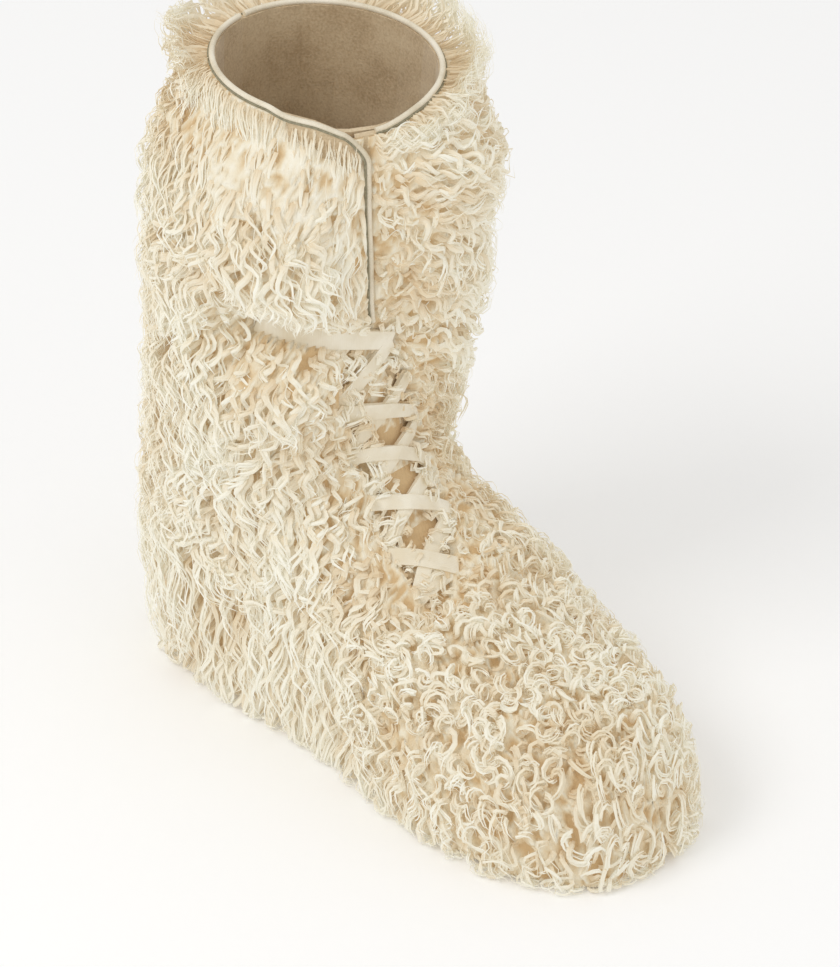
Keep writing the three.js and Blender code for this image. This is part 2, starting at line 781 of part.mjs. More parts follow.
// Whether a lock grows on the inner side of the throat.
function isMedial(place) {
  return place.angle < throatAngle(place.station);
}

const FINISHES = {
  rubber: { color: 0x4a4d45, roughness: 0.85, metalness: 0 },
  lining: { color: 0x9a9088, roughness: 0.9, metalness: 0 },
  suede: { color: 0xc9a884, roughness: 0.95, metalness: 0 },
  wool: { color: 0xe9dfc8, roughness: 1, metalness: 0 },
  piping: { color: 0xece3cf, roughness: 0.6, metalness: 0 },
  lace: { color: 0xeee5d2, roughness: 0.7, metalness: 0 },
};

const boot = new THREE.Group();
boot.name = "sheepskin_combat_boot";

// Adds a solid to the boot as one named mesh.
function addPiece(name, body, finish) {
  const mesh = body.getMesh();
  const geometry = new THREE.BufferGeometry();
  geometry.setAttribute("position", new THREE.BufferAttribute(Float32Array.from(mesh.vertProperties), 3));
  geometry.setIndex(new THREE.BufferAttribute(Uint32Array.from(mesh.triVerts), 1));
  geometry.computeVertexNormals();
  const piece = new THREE.Mesh(geometry, new THREE.MeshStandardMaterial(FINISHES[finish]));
  piece.name = name;
  boot.add(piece);
}

addPiece("outsole", makeOutsole(), "rubber");
addPiece("insole", makeInsole(), "lining");
addPiece("upper", makeUpper(), "suede");
addPiece("tongue", makeTongue(), "suede");
addPiece("lace", makeLace(), "lace");
addPiece("binding_medial", makeMedialBinding(), "piping");
addPiece("binding_lateral", makeLateralBinding(), "piping");
for (const panel of makeFleece()) {
  addPiece(panel.name, panel.body, "wool");
}

boot.position.set(-HEEL_REST * ALONG, 0, 0);

export default boot;
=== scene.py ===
"""Dresses the left sheepskin boot: long curled wool, piping, flat lace, suede, insole and sole.

Lengths are in millimetres from the heel rest until a mesh is made, and in metres in the meshes.
Stations count the last's sections from the toe to the collar. Angle 0 is the back or the bottom of
a section and pi its front or top. The inner side lies from 0 to pi, the outer side beyond. A place
across is a distance along the skin from the throat's centre line, positive to the outer side.
A band is a pair of numbers, most often the two ends of a stretch over which something rises from
nothing to all.
"""

import logging
import math
from dataclasses import dataclass, field
from enum import Enum
from typing import Sequence

import bpy
import numpy as np
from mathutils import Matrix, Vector, noise

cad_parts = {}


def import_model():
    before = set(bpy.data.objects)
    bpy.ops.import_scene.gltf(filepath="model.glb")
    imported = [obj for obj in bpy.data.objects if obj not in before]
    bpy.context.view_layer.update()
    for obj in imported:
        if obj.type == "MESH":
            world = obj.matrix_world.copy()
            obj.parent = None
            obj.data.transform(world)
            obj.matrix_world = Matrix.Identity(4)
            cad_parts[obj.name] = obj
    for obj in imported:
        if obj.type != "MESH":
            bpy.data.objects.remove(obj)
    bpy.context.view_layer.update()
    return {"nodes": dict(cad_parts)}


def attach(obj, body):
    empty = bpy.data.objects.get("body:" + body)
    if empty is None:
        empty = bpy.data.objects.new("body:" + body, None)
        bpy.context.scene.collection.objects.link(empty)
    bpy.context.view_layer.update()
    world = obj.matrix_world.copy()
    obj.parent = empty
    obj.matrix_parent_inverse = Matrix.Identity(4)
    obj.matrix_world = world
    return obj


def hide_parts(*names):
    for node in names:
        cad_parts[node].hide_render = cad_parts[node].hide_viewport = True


LOG = logging.getLogger("boot")
MM = 0.001
BODY = "root"
SEED = 20
TURN = 2 * math.pi

SECTION_COLUMNS = (
    "back_x", "back_z", "front_x", "front_z", "medial", "lateral",
    "widest", "low", "high", "centre", "wool",
)
SECTION_ROWS = (
    (262, 27.0, 262, 29, 1, 1, 0.40, 3.0, 2.2, -10, 13),
    (260, 22.0, 260, 38, 15, 14, 0.40, 3.2, 2.2, -10, 14),
    (254, 19.0, 254, 46, 27, 24, 0.38, 3.6, 2.2, -9, 15),
    (243, 16.5, 243, 52, 37, 33, 0.36, 4.2, 2.2, -7, 15),
    (225, 14.5, 225, 57, 45, 40, 0.34, 5.0, 2.2, -5, 16),
    (200, 13.0, 199, 62, 48, 44, 0.32, 5.0, 2.2, -3, 17),
    (175, 13.0, 172, 70, 47, 46, 0.31, 5.0, 2.2, -1, 19),
    (150, 15.0, 150, 82, 41, 45, 0.31, 5.0, 2.3, 0, 20),
    (122, 18.5, 136, 94, 35, 42, 0.33, 5.0, 2.3, 0, 20),
    (92, 22.0, 126, 105, 33, 38, 0.35, 4.6, 2.2, 0, 21),
    (58, 25.0, 118, 117, 33, 35, 0.40, 4.2, 2.1, 0, 22),
    (24, 25.5, 113, 130, 34, 34, 0.44, 3.2, 2.1, 0, 22),
    (5, 31.0, 110, 143, 36, 35, 0.47, 2.3, 2.0, 0, 22),
    (0, 53.0, 109, 157, 38, 37, 0.50, 2.0, 2.0, 0, 23),
    (3, 86.0, 109, 174, 40, 39, 0.50, 2.0, 2.0, 0, 24),
    (8, 121.0, 110, 193, 42, 41, 0.50, 2.0, 2.0, 1, 25),
    (11, 155.0, 111, 213, 43, 43, 0.50, 2.0, 2.0, 2, 26),
    (13, 192.0, 113, 233, 44, 44, 0.50, 2.0, 2.0, 3, 27),
    (14, 231.0, 115, 254, 45, 45, 0.50, 2.0, 2.0, 3, 28),
    (15, 268.0, 117, 276, 46, 46, 0.50, 2.0, 2.0, 4, 27),
    (16, 303.0, 119, 300, 46, 47, 0.50, 2.0, 2.0, 4, 12),
)
THROAT_STATIONS = (6.85, 7.4, 8.8, 10.4, 12.4, 14.2, 15.6, 17.5, 21)
THROAT_TURNS = (0.32, 0.26, 0.12, 0.04, 0.06, 0.28, 0.48, 0.56, 0.69)
BARE_STATIONS = (6.5, 7.1, 8.7, 12.4, 14, 15.3)
BARE_WIDTHS = (8, 17, 25, 26, 24, 14)
HEM_X = (0, 24, 58, 92, 122, 150, 175, 225, 243, 254, 262)
HEM_Z = (27.5, 27.5, 27, 24, 20.5, 17, 15, 16.5, 18.5, 21, 26)

Array = np.ndarray
Band = tuple[float, float]
Colour = tuple[float, float, float, float]
Stops = tuple[tuple[float, Colour], ...]


def linear(red: int, green: int, blue: int) -> Colour:
    """Turns screen values above 10, out of 255, into a linear colour with full alpha."""
    values = [((v / 255 + 0.055) / 1.055) ** 2.4 for v in (red, green, blue)]
    return (values[0], values[1], values[2], 1.0)


def rise(band: Band, value: Array) -> Array:
    """Smooth rise from 0 at the band's start to 1 at its end."""
    share = np.clip((value - band[0]) / (band[1] - band[0]), 0, 1)
    return share * share * (3 - 2 * share)


def at_least(least: float, share: Array) -> Array:
    """A share from 0 to 1, moved to the range from least to 1."""
    return least + (1 - least) * share


def within(band: Band, value: Array) -> Array:
    """Whether a value lies inside a band."""
    return (value > band[0]) & (value < band[1])


def unit(vectors: Array) -> Array:
    """Vectors of length one along the last axis."""
    return vectors / (np.linalg.norm(vectors, axis=-1, keepdims=True) + 1e-12)


def off_axis(vectors: Array, axis: Array) -> Array:
    """What is left of vectors at right angles to unit axes."""
    return vectors - axis * (vectors * axis).sum(-1, keepdims=True)


def noise_at(points: Array, size: float, shift: float = 0.0) -> Array:
    """Smooth noise at points, with features of about a size."""
    places = points.reshape(-1, 3) / size + shift
    return np.array([noise.noise(Vector(p)) for p in places]).reshape(points.shape[:-1])


def spread_out(points: Array, spacing: float) -> list[int]:
    """Thins out points, first come first kept.

    Args:
        points: The points in order.
        spacing: Least distance between two points that are kept.

    Returns:
        Numbers of the points that are kept.
    """
    taken = np.empty((len(points), 3))
    kept: list[int] = []
    for i, point in enumerate(points):
        gaps = taken[: len(kept)] - point
        if not kept or np.einsum("ij,ij->i", gaps, gaps).min() > spacing**2:
            taken[len(kept)] = point
            kept.append(i)
    return kept


def deselect() -> None:
    """Leaves nothing selected, so that an operator acts on new pieces alone."""
    bpy.ops.object.select_all(action="DESELECT")


@dataclass(frozen=True)
class Last:
    """The lasted surface of the boot, which every piece of the upper follows."""

    heel_rest: float = 42.0
    lap_overhang: float = 5.0
    notch_depth: float = 0.4
    notch_reach: Band = (0.3, 0.55)
    facets: int = 20
    wall: float = 2.5
    normal_step: float = 0.12
    angle_step: float = 0.05

    @property
    def collar(self) -> int:
        """Station of the collar."""
        return len(SECTION_ROWS) - 1

    def value(self, station: Array, column: str) -> Array:
        """One column of the sections, smooth along the stations.

        Args:
            station: Stations from the toe.
            column: Name of the column.

        Returns:
            Interpolated values.
        """
        data = np.array([row[SECTION_COLUMNS.index(column)] for row in SECTION_ROWS], float)
        station = np.asarray(station, float)
        index = np.clip(np.floor(station).astype(int), 0, self.collar - 1)
        share = station - index
        before, start, end, after = (data[np.clip(index + i, 0, self.collar)] for i in (-1, 0, 1, 2))
        slope_in, slope_out = (end - before) / 2, (after - start) / 2
        cubic = 2 * start - 2 * end + slope_in + slope_out
        square = -3 * start + 3 * end - 2 * slope_in - slope_out
        smooth = ((cubic * share + square) * share + slope_in) * share + start
        return np.where(share > 1, end + (end - start) * (share - 1), smooth)

    def point(self, station: Array, angle: Array) -> Array:
        """Points of the lasted surface.

        Args:
            station: Stations from the toe.
            angle: Angles round the section.

        Returns:
            Points with x, y and z on the last axis.
        """
        cosine, sine = np.cos(angle), np.sin(angle)
        squareness = np.where(cosine >= 0, self.value(station, "low"), self.value(station, "high"))
        run = np.abs(cosine) ** (2 / squareness)
        widest = self.value(station, "widest")
        share = np.where(cosine >= 0, widest * (1 - run), widest + (1 - widest) * run)
        half = np.where(sine >= 0, self.value(station, "medial"), self.value(station, "lateral"))
        side = half * np.sign(sine) * np.abs(sine) ** (2 / squareness)
        back_x, front_x = self.value(station, "back_x"), self.value(station, "front_x")
        back_z, front_z = self.value(station, "back_z"), self.value(station, "front_z")
        x = back_x + (front_x - back_x) * share - self.heel_rest
        y = self.value(station, "centre") - side
        z = back_z + (front_z - back_z) * share
        return np.stack(np.broadcast_arrays(x, y, z), -1)

    def normal(self, station: Array, angle: Array) -> Array:
        """Outward normals of the lasted surface.

        Args:
            station: Stations from the toe.
            angle: Angles round the section.

        Returns:
            Unit vectors.
        """
        step = self.normal_step
        station = np.asarray(station, float)
        low = np.maximum(0, station - step)
        along = self.point(station + step, angle) - self.point(low, angle)
        around = self.point(station, angle + step) - self.point(station, angle - step)
        return unit(np.cross(around, along))

    def surface(self, station: Array, angle: Array, offset: Array) -> Array:
        """Points outside the lasted surface, by their distance from it."""
        offset = np.asarray(offset, float)
        return self.point(station, angle) + self.normal(station, angle) * offset[..., None]

    def outwards(self, station: Array, angle: Array) -> Array:
        """Direction round the section, across the throat towards the outer side."""
        step = self.angle_step
        return unit(self.point(station, angle + step) - self.point(station, angle - step))

    def throat(self, station: Array) -> Array:
        """Angle of the throat's centre line."""
        return math.pi - np.interp(station, THROAT_STATIONS, THROAT_TURNS)

    def angle_at(self, station: Array, across: Array) -> Array:
        """Angle at a place across.

        Args:
            station: Stations from the toe.
            across: Places across.

        Returns:
            Angles round the section.
        """
        middle, step = self.throat(station), self.angle_step
        span = self.point(station, middle + step) - self.point(station, middle - step)
        return middle + across * 2 * step / np.linalg.norm(span, axis=-1)

    def across(self, station: Array, angle: Array) -> Array:
        """Place across at an angle."""
        per_length = self.angle_at(station, np.ones_like(station)) - self.throat(station)
        return (angle - self.throat(station)) / per_length

    def collar_angle(self, across: float) -> Array:
        """Angle at a place across on the collar."""
        return self.angle_at(np.array(float(self.collar)), np.array(across))

    def rim(self, angle: Array) -> Array:
        """Station of the collar's rim, straight between the facets, with a dip to the notch.

        Args:
            angle: Angles round the section.

        Returns:
            Stations from the toe.
        """
        notch = self.collar_angle(self.lap_overhang)

        def dip(at: Array) -> Array:
            """Station of the smooth rim."""
            away = at - notch
            reach = np.where(away > 0, self.notch_reach[1], self.notch_reach[0])
            return self.collar - self.notch_depth * np.exp(-((away / reach) ** 2))

        facet = TURN / self.facets
        low = np.floor(angle / facet)
        share = angle / facet - low
        return dip(low * facet) * (1 - share) + dip((low + 1) * facet) * share


LAST = Last()


class Channel:
    """A node socket whose arithmetic adds Math nodes."""

    def __init__(self, finish: "Finish", socket: bpy.types.NodeSocket) -> None:
        """Wraps a socket of a finish."""
        self.finish = finish
        self.socket = socket

    def math(self, operation: str, other: object = 0.0) -> "Channel":
        """Adds one Math node and returns its result."""
        node = self.finish.node("ShaderNodeMath", {"operation": operation}, {0: self, 1: other})
        return Channel(self.finish, node.outputs[0])

    def __add__(self, other: object) -> "Channel":
        """Sum."""
        return self.math("ADD", other)

    def __radd__(self, other: object) -> "Channel":
        """Sum, with the channel second."""
        return self + other

    def __sub__(self, other: object) -> "Channel":
        """Difference."""
        return self.math("SUBTRACT", other)

    def __rsub__(self, other: object) -> "Channel":
        """Difference, with the channel second."""
        return self * -1.0 + other

    def __mul__(self, other: object) -> "Channel":
        """Product."""
        return self.math("MULTIPLY", other)

    def __rmul__(self, other: object) -> "Channel":
        """Product, with the channel second."""
        return self * other


class Finish:
    """A material under construction, with its shader and its nodes."""

    def __init__(self, name: str, roughness: float, **sockets: float) -> None:
        """Starts a material.

        Args:
            name: The material's name.
            roughness: Roughness where nothing varies it.
            sockets: Constant values of the shader's sockets, spaces written as underscores.
        """
        self.material = bpy.data.materials.new(name)
        self.material.use_nodes = True
        self.tree = self.material.node_tree
        self.shader = self.tree.nodes["Principled BSDF"]
        for key, value in {"Roughness": roughness, **sockets}.items():
            self.shader.inputs[key.replace("_", " ")].default_value = value

    def node(self, kind: str, settings: dict[str, object] | None = None,
             inputs: dict[object, object] | None = None) -> bpy.types.Node:
        """Adds a node, its settings first and its sockets after.

        Args:
            kind: The node's type.
            settings: Attributes of the node.
            inputs: Values or channels by socket name or number.

        Returns:
            The new node.
        """
        node = self.tree.nodes.new(kind)
        for key, value in (settings or {}).items():
            setattr(node, key, value)
        for key, value in (inputs or {}).items():
            if isinstance(value, Channel):
                self.tree.links.new(value.socket, node.inputs[key])
            else:
                node.inputs[key].default_value = value
        return node

    def channel(self, node: bpy.types.Node, output: object = 0) -> Channel:
        """One output of a node as a channel."""
        return Channel(self, node.outputs[output])

    def place(self) -> Channel:
        """Object coordinates."""
        return self.channel(self.node("ShaderNodeTexCoord"), "Object")

    def parts(self, spot: Channel) -> tuple[Channel, Channel, Channel]:
        """The three numbers of a place."""
        split = self.node("ShaderNodeSeparateXYZ", {}, {0: spot})
        return self.channel(split, 0), self.channel(split, 1), self.channel(split, 2)

    def stretched(self, spot: Channel, scale: tuple[float, float, float]) -> Channel:
        """Places scaled along each axis."""
        return self.channel(self.node("ShaderNodeMapping", {}, {"Vector": spot, "Scale": scale}))

    def noise(self, scale: float, detail: float, spot: Channel | None = None) -> Channel:
        """Noise from 0 to 1, in Object coordinates unless other places are given."""
        inputs = {"Vector": spot or self.place(), "Scale": scale, "Detail": detail}
        return self.channel(self.node("ShaderNodeTexNoise", {}, inputs))

    def ramp(self, factor: Channel, *stops: tuple[float, Colour]) -> Channel:
        """Colour ramp over a factor.

        Args:
            factor: What the ramp reads.
            stops: Places on the ramp, each with its colour.

        Returns:
            The colour.
        """
        node = self.node("ShaderNodeValToRGB", {}, {0: factor})
        elements = node.color_ramp.elements
        while len(elements) < len(stops):
            elements.new(0.5)
        for element, (place, colour) in zip(elements, stops):
            element.position = place
            element.color = colour
        return self.channel(node)

    def mix(self, factor: object, first: object, second: object) -> Channel:
        """Mix of two colours."""
        inputs = {0: factor, 6: first, 7: second}
        return self.channel(self.node("ShaderNodeMix", {"data_type": "RGBA"}, inputs), 2)

    def paint(self, value: Channel, *sockets: str) -> None:
        """Links sockets of the shader."""
        for socket in sockets:
            self.tree.links.new(value.socket, self.shader.inputs[socket])

    def relief(self, height: Channel, depth_mm: float) -> None:
        """Adds a bump of a given depth in millimetres."""
        inputs = {"Height": height, "Distance": depth_mm * MM, "Strength": 1.0}
        self.paint(self.channel(self.node("ShaderNodeBump", {}, inputs)), "Normal")


@dataclass(frozen=True)
class Mottle:
    """Look of a plain material: fine grain and wide patches over a colour ramp.

    Grain and patches are noise, each with its scale and detail. The shares say how much of each goes
    into the colour, and the dulling how much of each goes into the roughness.
    """

    name: str
    roughness: float
    grain: Band
    patches: Band
    shares: Band
    relief_mm: float
    stops: Stops
    dulling: Band = (0.0, 0.0)
    sockets: dict[str, float] = field(default_factory=dict)

    def build(self) -> bpy.types.Material:
        """Makes the material.

        Returns:
            The finished material.
        """
        finish = Finish(self.name, self.roughness, **self.sockets)
        grain, patches = finish.noise(*self.grain), finish.noise(*self.patches)
        shade = self.shares[0] * grain + self.shares[1] * patches
        finish.paint(finish.ramp(shade, *self.stops), "Base Color")
        if any(self.dulling):
            dull = self.roughness + self.dulling[0] * grain + self.dulling[1] * patches
            finish.paint(dull, "Roughness")
        finish.relief(grain, self.relief_mm)
        return finish.material


MOTTLES = (
    Mottle(
        "suede", 0.85, (900, 4), (45, 3), (0.45, 0.55), 0.25,
        ((0.36, linear(182, 158, 124)), (0.5, linear(204, 182, 148)), (0.66, linear(220, 201, 168))),
        (0.12, 0.0), {"Sheen_Weight": 0.3, "Specular_IOR_Level": 0.15},
    ),
    Mottle(
        "piping", 0.5, (1500, 3), (60, 2), (0.3, 0.7), 0.08,
        ((0.36, linear(214, 202, 176)), (0.52, linear(232, 222, 200)), (0.66, linear(240, 232, 214))),
        sockets={"Coat_Weight": 0.08, "Coat_Roughness": 0.4},
    ),
    # Dark line beside the piping: partly a real edge line, partly painted shadow between the piping and
    # the wool.
    Mottle(
        "edge_line_and_shadow", 0.7, (700, 2), (60, 2), (1.0, 0.0), 0.1,
        ((0.3, linear(122, 116, 92)), (0.7, linear(156, 148, 122))),
    ),
    Mottle(
        "sole_rubber", 0.6, (1300, 3), (55, 4), (0.3, 0.7), 0.12,
        ((0.35, linear(62, 60, 52)), (0.52, linear(78, 75, 65)), (0.7, linear(112, 106, 92))),
        (0.0, 0.3), {"Specular_IOR_Level": 0.35},
    ),
    Mottle(
        "insole_pile", 0.95, (520, 4), (30, 2), (0.5, 0.5), 0.8,
        ((0.36, linear(150, 136, 118)), (0.5, linear(176, 162, 142)), (0.64, linear(198, 186, 166))),
        sockets={"Sheen_Weight": 0.4, "Specular_IOR_Level": 0.1},
    ),
)


@dataclass(frozen=True)
class StrandFinish:
    """Wool strands: tan at the root, cream at the tip, with a tone for each lock. The darker root is
    partly the wool's own colour and partly painted shade deep in the fleece.

    The weak emission of the wool's own colour is painted light: it stands for light that passes through
    its fibres and lifts the shade between them. The tone runs across the texture map and the strand's
    length up it.
    """

    name: str = "wool_strand"
    roughness: float = 0.85
    specular: float = 0.12
    # Strength of the emission: painted light that lifts the shade in the wool.
    glow: float = 0.2
    fibre_stretch: tuple[float, float, float] = (90, 2.5, 1)
    length_share: float = 0.75
    fibre_share: float = 0.5
    start: float = 0.12
    # Both ramps run from a darker root to a paler tip; the darker root is partly painted shade.
    pale: Stops = (
        (0.0, linear(207, 186, 151)), (0.25, linear(221, 210, 187)),
        (0.5, linear(227, 223, 208)), (0.9, linear(232, 231, 222)),
    )
    golden: Stops = (
        (0.0, linear(191, 160, 119)), (0.3, linear(207, 186, 151)),
        (0.6, linear(219, 207, 181)), (0.9, linear(228, 222, 204)),
    )

    def build(self) -> bpy.types.Material:
        """Makes the material.

        Returns:
            The finished material.
        """
        finish = Finish(
            self.name, self.roughness, Specular_IOR_Level=self.specular, Emission_Strength=self.glow
        )
        spot = finish.channel(finish.node("ShaderNodeUVMap", {"uv_map": "OFBake"}))
        tone, along, _ = finish.parts(spot)
        fibres = finish.noise(1.0, 2, finish.stretched(spot, self.fibre_stretch))
        place = along * self.length_share + fibres * self.fibre_share - self.start
        colour = finish.mix(tone, finish.ramp(place, *self.pale), finish.ramp(place, *self.golden))
        # The same colour feeds the emission: painted light in the wool's own colour.
        finish.paint(colour, "Base Color", "Emission Color")
        return finish.material


@dataclass(frozen=True)
class UnderfurFinish:
    """Dense curly wool between the locks: tan in the hollows, cream on the crests. The darker tan of the
    hollows is partly the wool's own root colour and partly painted shade, and the weak emission of its
    own colour is painted light.
    """

    name: str = "underfur"
    roughness: float = 0.92
    specular: float = 0.1
    # Strength of the emission: painted light that lifts the shade in the hollows.
    glow: float = 0.17
    fibres: Band = (700, 3)
    fibre_stretch: tuple[float, float, float] = (1, 1, 0.4)
    patches: Band = (32, 2)
    crest_share: float = 0.62
    fibre_share: float = 0.2
    patch_share: float = 0.25
    relief_mm: float = 0.8
    stops: Stops = (
        (0.3, linear(200, 172, 131)), (0.5, linear(213, 194, 161)),
        (0.7, linear(224, 214, 191)), (0.9, linear(231, 226, 211)),
    )

    def build(self) -> bpy.types.Material:
        """Makes the material.

        Returns:
            The finished material.
        """
        finish = Finish(
            self.name, self.roughness, Specular_IOR_Level=self.specular, Emission_Strength=self.glow
        )
        crest = finish.channel(finish.node("ShaderNodeAttribute", {"attribute_name": "crest"}), "Fac")
        fibres = finish.noise(*self.fibres, finish.stretched(finish.place(), self.fibre_stretch))
        patches = finish.noise(*self.patches)
        # Low crest values darken the hollows to tan: partly the wool's own colour, partly painted shade.
        shade = crest * self.crest_share + fibres * self.fibre_share + patches * self.patch_share
        finish.paint(finish.ramp(shade, *self.stops), "Base Color", "Emission Color")
        finish.relief(fibres, self.relief_mm)
        return finish.material


@dataclass(frozen=True)
class WeaveFinish:
    """Flat woven cotton lace, cream, with a fine diagonal weave."""

    name: str = "lace_weave"
    roughness: float = 0.75
    sheen: float = 0.2
    per_metre: float = 5200.0
    soil: Band = (70, 3)
    stops: Stops = ((0.35, linear(232, 220, 194)), (0.65, linear(246, 239, 221)))
    weft_share: float = 0.12
    weft: Colour = linear(206, 188, 152)
    relief_mm: float = 0.05

    def build(self) -> bpy.types.Material:
        """Makes the material.

        Returns:
            The finished material.
        """
        finish = Finish(self.name, self.roughness, Sheen_Weight=self.sheen)
        _, across, up = finish.parts(finish.place())
        warp, weft = ((line * self.per_metre).math("SINE") for line in (across + up, across - up))
        weave = warp * weft * 0.5 + 0.5
        base = finish.ramp(finish.noise(*self.soil), *self.stops)
        finish.paint(finish.mix(weave * self.weft_share, base, self.weft), "Base Color")
        finish.relief(weave, self.relief_mm)
        return finish.material


def make_finishes() -> dict[str, bpy.types.Material]:
    """Makes every finish of the boot once, by name."""
    looks = (*MOTTLES, StrandFinish(), UnderfurFinish(), WeaveFinish())
    return {look.name: look.build() for look in looks}


@dataclass(frozen=True)
class Lamp:
    """A soft lamp, by where it hangs, its size in metres and its power in watts."""

    name: str
    azimuth: float
    elevation: float
    size: float
    power: float


@dataclass(frozen=True)
class Stage:
    """The camera, the pale floor and the soft studio light."""

    look_mm: tuple[float, float, float] = (63.8, 20.0, 103.2)
    azimuth: float = 44.0
    elevation: float = 33.0
    distance: float = 3.0
    focal_pixels: float = 7020.0
    frame_height: int = 967
    sensor: float = 36.0
    clip: Band = (0.1, 50.0)
    floor_size: float = 24.0
    sky_colour: Colour = (1.0, 0.995, 0.985, 1)
    sky_strength: float = 0.74
    lamp_distance: float = 2.2
    lamps: tuple[Lamp, ...] = (
        Lamp("key", -12.0, 50.0, 0.9, 12.0),
        Lamp("fill", 92.0, 30.0, 2.2, 4.0),
    )

    def build(self) -> None:
        """Sets up the camera, the floor, the world and the lamps."""
        self._camera()
        self._floor()
        self._world()
        for lamp in self.lamps:
            data = bpy.data.lights.new(lamp.name, "AREA")
            data.size, data.energy = lamp.size, lamp.power
            self._aim(lamp.name, data, lamp.azimuth, lamp.elevation, self.lamp_distance)

    def _aim(self, name: str, data: bpy.types.ID, azimuth: float, elevation: float,
             distance: float) -> bpy.types.Object:
        """Hangs a camera or a lamp round the boot and turns it to the boot.

        Args:
            name: The object's name.
            data: The camera or the lamp.
            azimuth: Degrees from the inner side towards the toe.
            elevation: Degrees above the floor.
            distance: Metres from the point that it looks at.

        Returns:
            The new object.
        """
        a, e = math.radians(azimuth), math.radians(elevation)
        back = Vector((math.sin(a) * math.cos(e), -math.cos(a) * math.cos(e), math.sin(e)))
        thing = bpy.data.objects.new(name, data)
        bpy.context.collection.objects.link(thing)
        thing.location = Vector(self.look_mm) * MM + back * distance
        thing.rotation_mode = "QUATERNION"
        thing.rotation_quaternion = (-back).to_track_quat("-Z", "Y")
        return thing

    def _camera(self) -> None:
        """Puts the camera at the photograph's angle to the boot."""
        data = bpy.data.cameras.new("camera")
        data.sensor_width = self.sensor
        data.lens = self.focal_pixels * self.sensor / self.frame_height
        data.clip_start, data.clip_end = self.clip
        camera = self._aim("camera", data, self.azimuth, self.elevation, self.distance)
        bpy.context.scene.camera = camera

    def _floor(self) -> None:
        """Lays a wide pale floor."""
        deselect()
        bpy.ops.mesh.primitive_plane_add(size=self.floor_size, location=(0, 0, 0))
        floor = bpy.context.object
        floor.name = "studio_floor"
        finish = Finish("studio_paper", 0.9, Specular_IOR_Level=0.1, Emission_Strength=0.06)
        finish.shader.inputs["Base Color"].default_value = linear(252, 252, 252)
        finish.shader.inputs["Emission Color"].default_value = linear(255, 255, 255)
        floor.data.materials.append(finish.material)

    def _world(self) -> None:
        """Fills the shadows with an even white sky."""
        world = bpy.data.worlds.new("studio")
        world.use_nodes = True
        background = world.node_tree.nodes["Background"]
        background.inputs["Color"].default_value = self.sky_colour
        background.inputs["Strength"].default_value = self.sky_strength
        bpy.context.scene.world = world
        settings = bpy.context.scene.view_settings
        settings.view_transform = "Standard"
        settings.exposure = 0.0


def triangle_mesh(name: str, points_mm: Array, triangles: Array, smooth: bool,
                  corner_uv: Array | None = None) -> bpy.types.Object:
    """Makes an object from triangles.

    Args:
        name: The piece's name.
        points_mm: Points in millimetres.
        triangles: Three point numbers for each face.
        smooth: Whether the faces are shaded smooth.
        corner_uv: Texture place of each face's corners, or nothing.

    Returns:
        The new object, linked to the scene.
    """
    mesh = bpy.data.meshes.new(name)
    count = len(triangles)
    mesh.vertices.add(len(points_mm))
    mesh.vertices.foreach_set("co", (points_mm * MM).astype(np.float32).ravel())
    mesh.loops.add(count * 3)
    mesh.loops.foreach_set("vertex_index", triangles.astype(np.int32).ravel())
    mesh.polygons.add(count)
    mesh.polygons.foreach_set("loop_start", np.arange(0, count * 3, 3, dtype=np.int32))
    mesh.polygons.foreach_set("use_smooth", np.full(count, smooth))
    if corner_uv is not None:
        layer = mesh.uv_layers.new(name="OFBake")
        layer.data.foreach_set("uv", corner_uv.astype(np.float32).ravel())
    mesh.update(calc_edges=True)
    mesh.validate()
    piece = bpy.data.objects.new(name, mesh)
    bpy.context.collection.objects.link(piece)
    return piece


def settle(piece: bpy.types.Object, material: bpy.types.Material, slot: str, *nodes: str) -> None:
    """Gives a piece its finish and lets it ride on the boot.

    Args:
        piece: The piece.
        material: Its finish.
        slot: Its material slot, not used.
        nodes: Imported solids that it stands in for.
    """
    piece.data.materials.clear()
    piece.data.materials.append(material)
    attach(piece, BODY)
    if nodes:
        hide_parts(*nodes)
    LOG.info("%s: %d faces", piece.name, len(piece.data.polygons))


class Curl(Enum):
    """Kinds of lock, by where they grow."""

    RINGLET = "ringlet"
    WAVY = "wavy"
    COMBED = "combed"
    SWEPT = "swept"
    SHORT = "short"


@dataclass(frozen=True)
class Style:
    """Shape of one kind of lock, in millimetres and shares."""

    rise: float
    reach: float
    coil: float
    turns: float
    spread: float
    gather: float
    stray: float
    width: float
    golden: float


STYLES: dict[Curl, Style] = {
    Curl.RINGLET: Style(1.00, 10, 3.3, 1.35, 1.5, 0.60, 1.3, 1.10, 0.32),
    Curl.WAVY: Style(1.00, 21, 2.4, 1.50, 2.2, 0.50, 0.60, 1.75, 0.24),
    Curl.COMBED: Style(0.40, 26, 0.6, 0.9, 3.0, 0.80, 0.12, 1.30, 0.04),
    Curl.SWEPT: Style(0.90, 26, 1.7, 1.2, 3.0, 0.60, 0.40, 1.50, 0.05),
    Curl.SHORT: Style(0.60, 13, 2.4, 1.2, 1.6, 0.60, 0.90, 1.30, 0.50),
}


